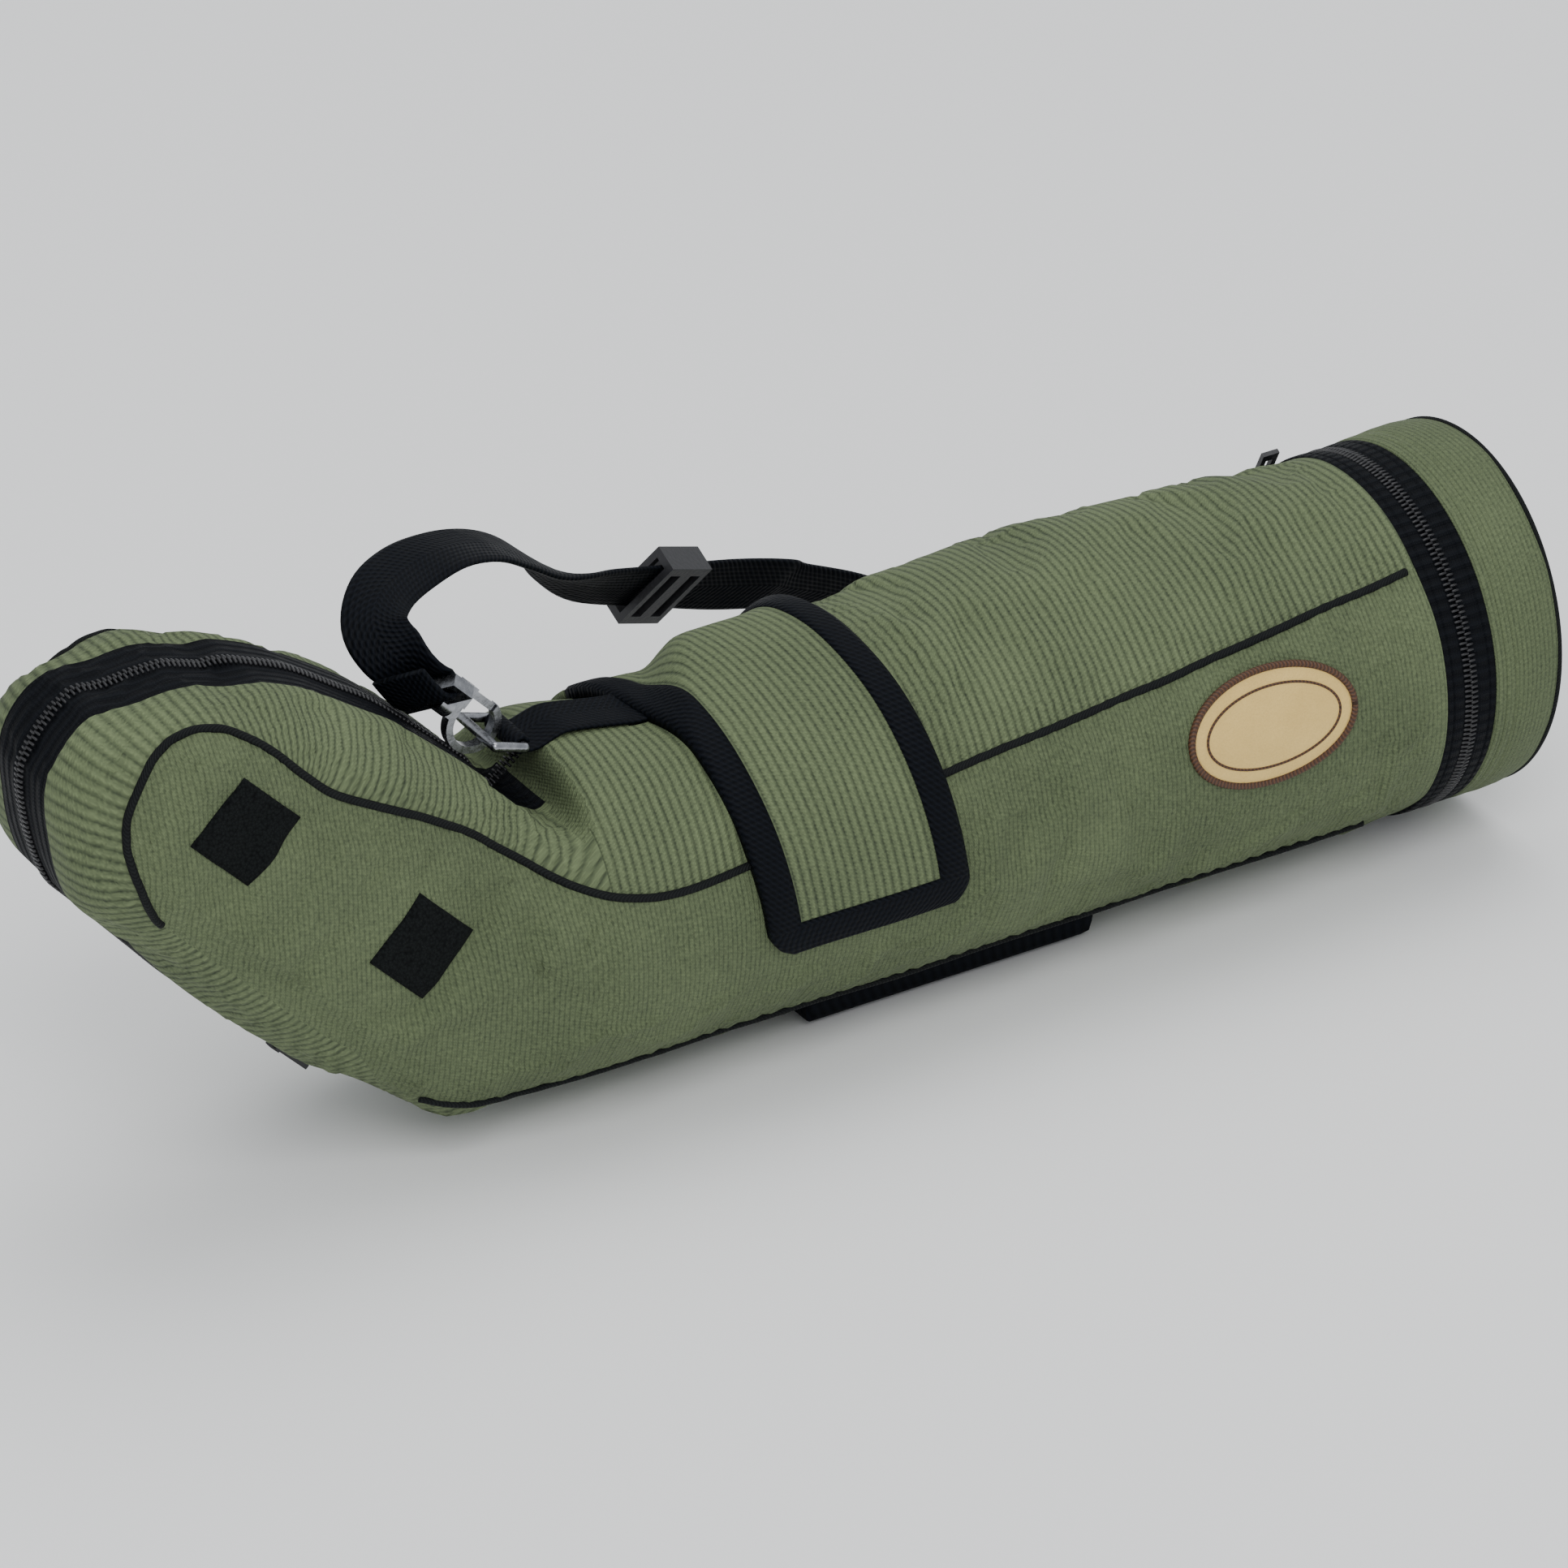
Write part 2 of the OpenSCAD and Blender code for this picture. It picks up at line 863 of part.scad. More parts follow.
// Route of the strap from the rear hook's eye to the front hook's eye: each point with
// the direction of the webbing's width there.
strap_route = [
    [[-169.5, -1.2, 149.9], [-0.47, 0.77, -0.44]],
    [[-166.3, -2.3, 144.7], [-0.47, 0.77, -0.44]],
    [[-163.2, -2.7, 140.7], [-0.47, 0.77, -0.44]],
    [[-159.5, -1.4, 139], [-0.47, 0.77, -0.44]],
    [[-157.3, 1, 140.9], [-0.47, 0.77, -0.44]],
    [[-158.4, 2.6, 144.7], [-0.47, 0.77, -0.44]],
    [[-162.1, 2.5, 148.6], [-0.47, 0.77, -0.44]],
    [[-167.2, 9, 153.6], [-0.82, 0.09, -0.56]],
    [[-167.8, 16, 159.1], [-0.85, 0.49, -0.21]],
    [[-160.3, 25, 162.8], [-0.66, 0.69, 0.31]],
    [[-147.3, 34, 162.7], [-0.45, 0.82, 0.36]],
    [[-131, 42, 160.5], [-0.38, 0.90, 0.20]],
    [[-114.5, 50, 153.9], [-0.34, 0.92, 0.20]],
    [[-100.2, 57, 144.2], [-0.28, 0.93, 0.23]],
    [[-87.5, 63, 133.2], [-0.33, 0.94, 0.13]],
    [[-76.9, 68, 123.6], [-0.54, 0.81, -0.23]],
    [[-61.2, 75, 112.9], [-0.58, 0.54, -0.61]],
    [[-33.1, 87, 99], [-0.50, 0.42, -0.76]],
    [[-6.2, 95, 87.6], [-0.42, 0.26, -0.87]],
    [[13.7, 99, 80.1], [-0.46, 0.28, -0.85]],
    [[22, 103, 75], [-0.54, 0.35, -0.77]],
    [[44, 108, 63], [-0.56, 0.39, -0.73]],
    [[66, 113, 47], [-0.64, 0.34, -0.69]],
    [[86, 118, 29], [0.21, 0.74, -0.64]],
    [[104, 124, 13], [0.00, 0.97, -0.25]],
    [[122, 131, 3.5], [-0.30, 0.95, -0.05]],
    [[142, 141, 1.5], [-0.60, 0.80, 0.00]],
    [[156, 155, 1.4], [-0.98, 0.20, 0.00]],
    [[153, 170, 1.4], [-0.71, -0.71, 0.00]],
    [[133, 179, 1.4], [-0.10, -1.00, 0.00]],
    [[102, 181, 1.4], [0.00, -1.00, 0.00]],
    [[72, 179, 1.4], [0.07, -1.00, 0.00]],
    [[42, 175, 1.4], [0.15, -0.99, 0.00]],
    [[12, 169, 1.4], [0.25, -0.97, 0.00]],
    [[-14, 158, 1.4], [0.60, -0.80, 0.00]],
    [[-25, 141, 1.4], [1.00, 0.10, 0.00]],
    [[-12, 124, 1.4], [0.65, 0.76, 0.00]],
    [[16, 111, 1.4], [0.35, 0.94, 0.00]],
    [[48, 101, 1.4], [0.25, 0.97, 0.00]],
    [[80, 93, 1.4], [0.20, 0.98, 0.00]],
    [[102, 88, 1.4], [0.25, 0.97, 0.00]],
    [[120, 82, 2.4], [0.60, 0.80, 0.00]],
    [[129, 75, 9], [0.91, 0.41, 0.00]],
    [[131, 69, 19], [1.00, 0.10, 0.00]],
    [[130, 68, 32], [1.00, 0.00, 0.00]]];

function unit(v) = v / norm(v);
// One value of a smooth curve through four neighbours.
function smooth(a, b, c, d, t) =
    0.5 * (2 * b + (c - a) * t + (2 * a - 5 * b + 4 * c - d) * t * t + (3 * b - a - 3 * c + d) * t * t * t);
function route_at(i, k) = strap_route[max(0, min(len(strap_route) - 1, i))][k];
function route_point(s, k) =
    let (i = floor(s), t = s - i)
    smooth(route_at(i - 1, k), route_at(i, k), route_at(i + 1, k), route_at(i + 2, k), t);

// Each ring of the sweep is a flat eight-sided outline square to the route.
outline = [[1, 0.6], [0.85, 1], [-0.85, 1], [-1, 0.6], [-1, -0.6], [-0.85, -1], [0.85, -1], [1, -0.6]];
strap_rings = 2 * (len(strap_route) - 1);
function strap_ring(n) =
    let (s = n / 2, p = route_point(s, 0), q0 = route_point(max(0, s - 0.1), 0),
        q1 = route_point(min(len(strap_route) - 1.001, s + 0.1), 0), tangent = unit(q1 - q0),
        w0 = route_point(s, 1), w = unit(w0 - (w0 * tangent) * tangent), h = cross(tangent, w))
    [for (o = outline) p + o[0] * strap_w / 2 * w + o[1] * strap_t / 2 * h];

module strap() {
    rings = [for (n = [0 : strap_rings - 1]) strap_ring(n), strap_ring(strap_rings - 0.002)];
    sides = len(outline);
    points = [for (r = rings) each r];
    walls = [for (n = [0 : len(rings) - 2], k = [0 : sides - 1])
        let (a = n * sides + k, b = n * sides + (k + 1) % sides)
        each [[a, b + sides, b], [a, a + sides, b + sides]]];
    last = (len(rings) - 1) * sides;
    caps = [[for (k = [0 : sides - 1]) k], [for (k = [sides - 1 : -1 : 0]) last + k]];
    color(black) polyhedron(points = points, faces = concat(walls, caps), convexity = 8);
}

// Three-bar slider on the strap.
slider_at = [-33.1, 87, 99];
slider_turn = [34.5, 23.4, 20];
module strap_slider() {
    frame_h = strap_w + 7;
    frame_l = 20;
    frame_t = 9;
    color(plastic)
        translate(slider_at)
            rotate(slider_turn)
                difference() {
                    translate([-frame_l / 2, -frame_t / 2, -frame_h / 2]) cube([frame_l, frame_t, frame_h]);
                    translate([-frame_l, -strap_t - 0.2, -strap_w / 2 - 0.9])
                        cube([2 * frame_l, 2 * strap_t + 0.4, strap_w + 1.8]);
                    for (s = [-1, 1])
                        translate([s * 5 - 2.4, -frame_t, -strap_w / 2])
                            cube([4.8, 2 * frame_t, strap_w]);
                }
}

// ---------- scope: objective ----------

cell_x1 = lid_end - cover_t - hood_len - 5;
cell_len = 22;
cell_x0 = cell_x1 - cell_len;
hood_end = cell_x1 + hood_len;
shoulder_t = 4;
barrel_x0 = 60;
barrel_bore = barrel_r - barrel_wall;
lens_fit = 0.08;

module objective_barrel() {
    color(armour)
        on_axis()
            turned([[barrel_x0, barrel_bore], [cell_x0 - shoulder_t - 6, barrel_bore],
                [cell_x0 - shoulder_t, lens_r - 3], [cell_x0, lens_r - 3], [cell_x0, lens_r + lens_fit],
                [cell_x1, lens_r + lens_fit], [cell_x1, barrel_bore], [hood_end, barrel_bore],
                [hood_end, barrel_r], [barrel_x0, barrel_r]]);
}

// Points across a lens face: bulge is how far the middle stands out.
function face_points(x, bulge, r, n = 8) =
    [for (i = [0 : n]) [x + bulge * (1 - (i / n) * (i / n)), r * i / n]];
function back_to_front(points) = [for (i = [len(points) - 1 : -1 : 0]) points[i]];

// A lens from x0 to x1 at its flat rim, its faces bulging by b0 and b1 towards +X.
lens_rim = 3.2;
module lens(x0, x1, r, b0, b1) {
    turned(concat(face_points(x0, b0, r - lens_rim), [[x0, r], [x1, r]],
        back_to_front(face_points(x1, b1, r - lens_rim))));
}

flint_t = 6;
crown_t = 6;
spacer_t = 4;
flint_x = cell_x0 + 0.05;
spacer_x = flint_x + flint_t + 0.05;
crown_x = spacer_x + spacer_t + 0.05;
ring_x = crown_x + crown_t + 0.05;

module flint_lens() {
    color(optical, 0.5) on_axis() lens(flint_x, flint_x + flint_t, lens_r, 2, -3);
}

module crown_lens() {
    color(optical, 0.5) on_axis() lens(crown_x, crown_x + crown_t, lens_r, -3, 4);
}

module lens_spacer() {
    color(black) on_axis() ring_wall(spacer_x, spacer_x + spacer_t, lens_r, lens_r - 2.5);
}

module retaining_ring() {
    color(black)
        on_axis()
            difference() {
                ring_wall(ring_x, cell_x1, lens_r, lens_r - 3);
                for (a = [0, 180])
                    rotate([a, 0, 0])
                        translate([cell_x1 - 2, -1, lens_r - 3.5]) cube([3, 2, 2.5]);
            }
}

// ---------- scope: body and focus ----------

body_x0 = -92;
carrier_x = 30;
carrier_t = 4;
lug_t = 5;
shaft_r = screw_d / 2;
front_lug_x = 18;
rear_lug_x = knob_x0 - gap - lug_t;
lug_half = 4;
lug_top = 5;
slot_half = 3.4;
arm_t = 6;
rod_r = rod_d / 2;
rod_y = 17;

module body_tube() {
    color(armour)
        on_axis()
            difference() {
                union() {
                    turned([[body_x0, 0], [barrel_x0 + 8, 0],
                        [barrel_x0 + 8, barrel_bore], [barrel_x0, barrel_bore], [barrel_x0, barrel_r],
                        [barrel_x0 - 4, barrel_r], [carrier_x, body_r], [body_x0, body_r]]);
                    for (x = [rear_lug_x, front_lug_x])
                        translate([x, -lug_half, 0]) cube([lug_t, 2 * lug_half, focus_h + lug_top]);
                }
                turned([[body_x0 - 1, 0], [body_x0 - 1, body_bore], [carrier_x - carrier_t, body_bore],
                    [carrier_x - carrier_t, body_bore - 6], [carrier_x, body_bore - 6],
                    [barrel_x0, barrel_bore - barrel_wall], [barrel_x0 + 9, barrel_bore - barrel_wall],
                    [barrel_x0 + 9, 0]]);
                translate([rear_lug_x - 1, 0, focus_h])
                    rotate([0, 90, 0]) cylinder(h = big / 4, r = shaft_r + run, $fn = fine);
                translate([-focus_travel - arm_t / 2 - 2, -slot_half, 0])
                    cube([2 * focus_travel + arm_t + 4, 2 * slot_half, body_r + 1]);
                for (s = [-1, 1])
                    translate([carrier_x - carrier_t - 1, s * rod_y, 0])
                        rotate([0, 90, 0]) cylinder(h = carrier_t + 2, r = rod_r + 0.03, $fn = soft);
            }
}

module focus_knob() {
    color(plastic)
        on_axis()
            translate([knob_x0, 0, focus_h])
                rotate([0, 90, 0])
                    difference() {
                        cylinder(h = knob_len, r = knob_d / 2, $fn = fine);
                        translate([0, 0, -1]) cylinder(h = knob_len + 2, r = shaft_r, $fn = fine);
                        for (i = [0 : 17])
                            rotate([0, 0, 20 * i])
                                translate([knob_d / 2, 0, 5])
                                    cylinder(h = knob_len - 10, r = 1.2, $fn = 13);
                    }
}

module focus_screw() {
    color(steel)
        on_axis()
            translate([rear_lug_x - 1, 0, focus_h])
                rotate([0, 90, 0])
                    cylinder(h = front_lug_x + lug_t + 1 - rear_lug_x, r = shaft_r, $fn = fine);
}

carriage_r = 22;
carriage_bore = 13;
carriage_t = 12;
module focus_carriage() {
    color(plastic)
        on_axis()
            difference() {
                union() {
                    along(-carriage_t / 2, carriage_t / 2, carriage_r);
                    translate([-arm_t / 2, 0.4 - slot_half, carriage_bore + 2])
                        cube([arm_t, 2 * slot_half - 0.8, focus_h - carriage_bore - 2]);
                    translate([-arm_t / 2, 0, focus_h])
                        rotate([0, 90, 0]) cylinder(h = arm_t, r = lug_half, $fn = fine);
                }
                along(-carriage_t, carriage_t, carriage_bore);
                translate([-carriage_t, 0, focus_h])
                    rotate([0, 90, 0]) cylinder(h = 2 * carriage_t, r = shaft_r + run, $fn = fine);
                for (s = [-1, 1])
                    translate([-carriage_t, s * rod_y, 0])
                        rotate([0, 90, 0]) cylinder(h = 2 * carriage_t, r = rod_r + run, $fn = fine);
            }
}

module focusing_lens() {
    color(optical, 0.5) on_axis() lens(-3, 1, carriage_bore - 0.02, 1.5, -1);
}

module guide_rods() {
    color(steel)
        on_axis()
            for (s = [-1, 1])
                translate([-26, s * rod_y, 0])
                    rotate([0, 90, 0]) cylinder(h = carrier_x + 26, r = rod_r, $fn = fine);
}

// ---------- scope: prism housing and eyepiece ----------

housing_half = 31;
housing_wall = 3;
housing_top = 30;
housing_low = -36;
socket_face_u = -20;
// The point of the X-Z plane, from the tube's centre line, at (u, v) of the eyepiece frame.
function at_uv(u, v) = [patch_x - u * cos(eyepiece_angle) + v * sin(eyepiece_angle),
    patch_z + u * sin(eyepiece_angle) + v * cos(eyepiece_angle)];
housing_outline = [[body_x0, housing_low], [-156, housing_low], at_uv(socket_face_u, -30),
    at_uv(socket_face_u, 33), [body_x0, housing_top]];
housing_inside = [[body_x0 - 4, housing_low + 4], [-154, housing_low + 4], at_uv(socket_face_u - 4, -26),
    at_uv(socket_face_u - 4, 29), [body_x0 - 4, housing_top - 4]];
screw_spots = [[-100, 22], [-100, -27], [-150, -27], [-144, 22]];

module prism_housing() {
    color(armour)
        difference() {
            on_axis() side_prism(housing_outline, 2 * housing_half);
            on_axis() side_prism(housing_inside, 2 * (housing_half - housing_wall));
            on_axis() along(body_x0 - 5, body_x0 + 1, body_bore - 4);
            eyepiece_frame() translate([0, 0, socket_face_u - 12]) cylinder(h = 14, r = eye_bore, $fn = fine);
            for (p = screw_spots)
                on_axis()
                    translate([p[0], -housing_half - 1, p[1]])
                        rotate([-90, 0, 0]) cylinder(h = housing_wall + 2, r = 1.55, $fn = soft);
        }
}

module housing_screws() {
    color(steel)
        on_axis()
            for (p = screw_spots)
                translate([p[0], -housing_half, p[1]]) {
                    rotate([-90, 0, 0]) cylinder(h = 6, r = 1.5, $fn = soft);
                    rotate([90, 0, 0]) cylinder(h = 1.6, r = 2.8, $fn = soft);
                }
}

prism_half = 20;
prism_outline = [[-104, -30], [-150, -30], [-172, -10], [-150, 16], [-104, 16]];
module prism_block() {
    color(optical, 0.6) on_axis() side_prism(prism_outline, 2 * prism_half);
}

eye_r = eye_d / 2;
eye_bore = 21;
flange_r = 29;
eye_end_u = 66;
zoom_u = 6;
module eyepiece_barrel() {
    color(plastic)
        eyepiece_frame()
            difference() {
                turned_up([[eye_bore, socket_face_u + 0.05], [flange_r, socket_face_u + 0.05], [flange_r, zoom_u - gap],
                    [eye_r, zoom_u - gap], [eye_r, eye_end_u], [eye_bore - 6, eye_end_u],
                    [eye_bore - 6, eye_end_u - 4], [eye_bore, eye_end_u - 4]]);
                translate([0, -flange_r - 1, lock_u])
                    rotate([-90, 0, 0]) cylinder(h = flange_r - eye_bore - 1, r = lock_r + run, $fn = fine);
            }
}

lock_u = -8;
lock_r = 3.5;
lock_travel = 1.5;
module eyepiece_lock() {
    color(steel)
        eyepiece_frame()
            translate([0, -flange_r - 2, lock_u])
                rotate([-90, 0, 0]) cylinder(h = 2 + flange_r - eye_bore - 2 - lock_travel - gap, r = lock_r, $fn = fine);
}

module zoom_ring() {
    color(plastic)
        eyepiece_frame()
            difference() {
                translate([0, 0, zoom_u]) cylinder(h = zoom_len, r = zoom_d / 2, $fn = fine);
                translate([0, 0, zoom_u - 1]) cylinder(h = zoom_len + 2, r = eye_r + run, $fn = fine);
                for (i = [0 : 23])
                    rotate([0, 0, 15 * i])
                        translate([zoom_d / 2, 0, zoom_u + 4])
                            cylinder(h = zoom_len - 8, r = 1.3, $fn = 13);
            }
}

// A zoom cell: a lens held in a ring that slides in the eyepiece barrel.
module zoom_cell(u) {
    translate([0, 0, u])
        turned_up([[12, 0], [eye_bore - run, 0], [eye_bore - run, 7], [12, 7]]);
    translate([0, 0, u])
        turned_up([[0, 2], [12, 2], [12, 5], [0, 6.5]]);
}

module zoom_front_cell() {
    color(plastic) eyepiece_frame() zoom_cell(-12);
}

module zoom_rear_cell() {
    color(plastic) eyepiece_frame() zoom_cell(32);
}

cup_u = 40;
sleeve_t = 1.5;
cup_len = 32;
module eyecup_sleeve() {
    color(plastic)
        eyepiece_frame()
            turned_up([[eye_r + run, cup_u], [eye_r + sleeve_t, cup_u], [eye_r + sleeve_t, cup_u + cup_len - 4],
                [eye_r + run, cup_u + cup_len - 4]]);
}

module eyecup() {
    color(rubber)
        eyepiece_frame()
            turned_up([[eye_r + sleeve_t + run, cup_u], [cup_d / 2, cup_u], [cup_d / 2, cup_u + cup_len - 3],
                [cup_d / 2 - 3, cup_u + cup_len], [eye_r - 7, cup_u + cup_len], [eye_r - 7, cup_u + cup_len - 3],
                [eye_r + sleeve_t + run, cup_u + cup_len - 3]]);
}

// ---------- scope: foot ----------

module tripod_foot() {
    color(plastic)
        difference() {
            translate([-foot_len / 2, -foot_w / 2, 0]) cube([foot_len, foot_w, axis_h - body_r / 2]);
            on_axis() along(-big, barrel_x0, body_r + 0.02);
            on_axis()
                side_prism([[carrier_x - 3, -body_r - 0.5], [carrier_x - 3, 0], [big, 0], [big, -barrel_r - 1],
                    [barrel_x0 - 4, -barrel_r - 1]]);
            translate([0, 0, -1]) cylinder(h = socket_depth + 1, r = socket_r, $fn = fine);
            translate([socket_pitch, 0, -1]) cylinder(h = small_depth + 1, r = small_socket_r, $fn = fine);
            translate([-socket_pitch, 0, -1]) cylinder(h = small_depth + 1, r = locating_r, $fn = fine);
        }
}

top_panel();
right_side_panel();
left_side_panel();
base_panel();
foam_liner();
notch_wall();
neck_gussets();
rear_zip_fixed_tape();
seam_piping();
front_zip_tape();
foot_surround();
badge();
badge_rim();
fixed_patches();
flap_hook_patch();
flap_anchor();
neck_webbing();
front_ring_tab();
strap();
strap_slider();
rear_hook();
front_hook();
front_lid();
lid_zip_tape();
right_cover();
right_cover_tape();
right_cover_patch();
left_cover();
left_cover_tape();
left_cover_patch();
wrap_flap();
flap_binding();
front_zip_slider();
rear_zip_slider();
rear_ring();
front_ring();
rear_gate();
front_gate();
objective_barrel();
crown_lens();
flint_lens();
lens_spacer();
retaining_ring();
body_tube();
focus_knob();
focus_screw();
focus_carriage();
focusing_lens();
guide_rods();
prism_housing();
prism_block();
housing_screws();
eyepiece_barrel();
zoom_ring();
zoom_front_cell();
zoom_rear_cell();
eyecup_sleeve();
eyecup();
eyepiece_lock();
tripod_foot();
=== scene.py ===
import json
import math

import bmesh
import bpy
import numpy as np
from mathutils import Matrix, Vector, noise
from mathutils.bvhtree import BVHTree


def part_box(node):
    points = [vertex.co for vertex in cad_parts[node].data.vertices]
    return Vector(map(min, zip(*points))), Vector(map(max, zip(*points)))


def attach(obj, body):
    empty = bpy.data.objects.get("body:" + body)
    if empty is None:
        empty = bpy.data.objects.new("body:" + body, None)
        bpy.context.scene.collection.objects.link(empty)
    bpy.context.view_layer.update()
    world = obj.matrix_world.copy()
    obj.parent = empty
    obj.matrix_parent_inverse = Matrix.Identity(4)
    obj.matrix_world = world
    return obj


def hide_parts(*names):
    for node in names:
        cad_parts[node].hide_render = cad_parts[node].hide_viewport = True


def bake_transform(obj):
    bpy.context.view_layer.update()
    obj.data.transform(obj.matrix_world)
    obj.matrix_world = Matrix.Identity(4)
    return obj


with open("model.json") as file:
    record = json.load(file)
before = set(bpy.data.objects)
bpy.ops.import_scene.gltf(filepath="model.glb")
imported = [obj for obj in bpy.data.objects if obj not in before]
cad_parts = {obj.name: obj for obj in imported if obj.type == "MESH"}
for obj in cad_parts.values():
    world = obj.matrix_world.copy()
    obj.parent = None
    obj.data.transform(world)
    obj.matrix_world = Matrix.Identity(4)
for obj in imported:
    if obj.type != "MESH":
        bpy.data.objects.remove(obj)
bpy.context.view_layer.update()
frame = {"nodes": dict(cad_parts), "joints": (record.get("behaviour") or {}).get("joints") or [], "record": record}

# ---------- Studio ----------
# A pale table under two large soft lamps, and a long lens that looks down on the near side
# of the scope from behind the eyepiece.
tube_low, tube_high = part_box("front_zip_tape")
AXIS_H = (tube_low[2] + tube_high[2]) / 2
CASE_R = (tube_high[2] - tube_low[2]) / 2

AZIMUTH, ELEVATION, ROLL = math.radians(29.75), math.radians(30.05), math.radians(1.29)
AIM = Vector((-0.0398, 0, AXIS_H + 0.0094))
DISTANCE = 2.9254
back = Vector((-math.sin(AZIMUTH) * math.cos(ELEVATION), -math.cos(AZIMUTH) * math.cos(ELEVATION),
               math.sin(ELEVATION)))
level = Vector((math.cos(AZIMUTH), -math.sin(AZIMUTH), 0))
upward = back.cross(level)
camera_data = bpy.data.cameras.new("camera")
camera_data.lens = 222.35
camera_data.sensor_width = 36
camera_data.clip_end = 30
camera = bpy.data.objects.new("camera", camera_data)
bpy.context.scene.collection.objects.link(camera)
camera_x = level * math.cos(ROLL) - upward * math.sin(ROLL)
camera_y = level * math.sin(ROLL) + upward * math.cos(ROLL)
camera.matrix_world = Matrix.Translation(AIM + back * DISTANCE) @ Matrix(
    (camera_x, camera_y, back)).transposed().to_4x4()
bpy.context.scene.camera = camera


def lamp(name, place, aim, size, watts):
    data = bpy.data.lights.new(name, "AREA")
    data.size = size
    data.energy = watts
    light = bpy.data.objects.new(name, data)
    light.location = place
    light.rotation_euler = (Vector(aim) - Vector(place)).to_track_quat("-Z", "Y").to_euler()
    bpy.context.scene.collection.objects.link(light)


lamp("key_lamp", (-0.7, -1.6, 2.0), (0, 0, 0.05), 1.4, 34)
lamp("top_lamp", (0.5, 0.5, 2.3), (0, 0, 0.05), 2.0, 26)
world = bpy.data.worlds.new("studio")
world.use_nodes = True
world.node_tree.nodes["Background"].inputs["Color"].default_value = (0.94, 0.97, 1, 1)
world.node_tree.nodes["Background"].inputs["Strength"].default_value = 0.72
bpy.context.scene.world = world


class Thread:
    """A value on its way through a material. Arithmetic on it adds Math nodes."""

    def __init__(self, tree, socket):
        self.tree, self.socket = tree, socket

    def node(self, kind, settings=None, out=0, **values):
        """A node of any type: its settings are set first, then its sockets are filled."""
        node = self.tree.nodes.new(kind)
        for key, value in (settings or {}).items():
            if key == "stops":
                for n, (place, colour) in enumerate(value):
                    stop = node.color_ramp.elements[n] if n < 2 else node.color_ramp.elements.new(place)
                    stop.position, stop.color = place, colour
            else:
                setattr(node, key, value)
        for key, value in values.items():
            target = node.inputs[int(key[1:]) if key[1:].isdigit() else key.replace("_", " ")]
            if isinstance(value, Thread):
                self.tree.links.new(value.socket, target)
            else:
                target.default_value = value
        return Thread(self.tree, node.outputs[out])

    def maths(self, operation, a, b=0.0):
        return self.node("ShaderNodeMath", {"operation": operation}, i0=a, i1=b)

    def __add__(self, other): return self.maths("ADD", self, other)
    def __sub__(self, other): return self.maths("SUBTRACT", self, other)
    def __rsub__(self, other): return self.maths("SUBTRACT", other, self)
    def __mul__(self, other): return self.maths("MULTIPLY", self, other)
    def __pow__(self, other): return self.maths("POWER", self, other)
    __radd__, __rmul__ = __add__, __mul__

    def wave(self, length, shift=0.0):
        """0 to 1 and back over each length."""
        return self.maths("SINE", self * (2 * math.pi / length) + shift) * 0.5 + 0.5

    def mix(self, low, high):
        """A colour between two, by this value."""
        return self.node("ShaderNodeMix", {"data_type": "RGBA"}, out=2, i0=self, i6=low, i7=high)

    def noise(self, scale, detail=2.0):
        """Fine irregularity at the point that this vector gives."""
        return self.node("ShaderNodeTexNoise", Vector=self, Scale=scale, Detail=detail)


def material(name, attribute=None, **fixed):
    """A new material: itself, its shader, and the threads x, y and the place on the cloth."""
    made = bpy.data.materials.new(name)
    made.use_nodes = True
    shader = made.node_tree.nodes["Principled BSDF"]
    for key, value in fixed.items():
        shader.inputs[key.replace("_", " ")].default_value = value
    start = Thread(made.node_tree, None)
    if attribute:
        place = start.node("ShaderNodeAttribute", {"attribute_name": attribute}, out=1)
    else:
        place = start.node("ShaderNodeTexCoord", out=3)
    x = place.node("ShaderNodeSeparateXYZ", Vector=place)
    y = Thread(x.tree, x.socket.node.outputs[1])
    return made, shader, x, y, place


def wire_up(shader, colour=None, roughness=None, height=None, depth=0.0004, metallic=None):
    """Joins the finished threads to the shader; height goes through a bump as deep as depth."""
    tree = (colour or roughness or height).tree
    if colour:
        tree.links.new(colour.socket, shader.inputs["Base Color"])
    if roughness:
        tree.links.new(roughness.socket, shader.inputs["Roughness"])
    if metallic:
        tree.links.new(metallic.socket, shader.inputs["Metallic"])
    if height:
        bump = height.node("ShaderNodeBump", Height=height, Strength=0.9, Distance=depth)
        tree.links.new(bump.socket, shader.inputs["Normal"])


floor_mesh = bpy.data.meshes.new("table_top")
floor_mesh.from_pydata([(-6, -6, 0), (6, -6, 0), (6, 6, 0), (-6, 6, 0)], [], [(0, 1, 2, 3)])
floor = bpy.data.objects.new("table_top", floor_mesh)
bpy.context.scene.collection.objects.link(floor)
pale = material("pale_table", Base_Color=(0.9, 0.9, 0.9, 1), Roughness=0.7)[0]
floor_mesh.materials.append(pale)

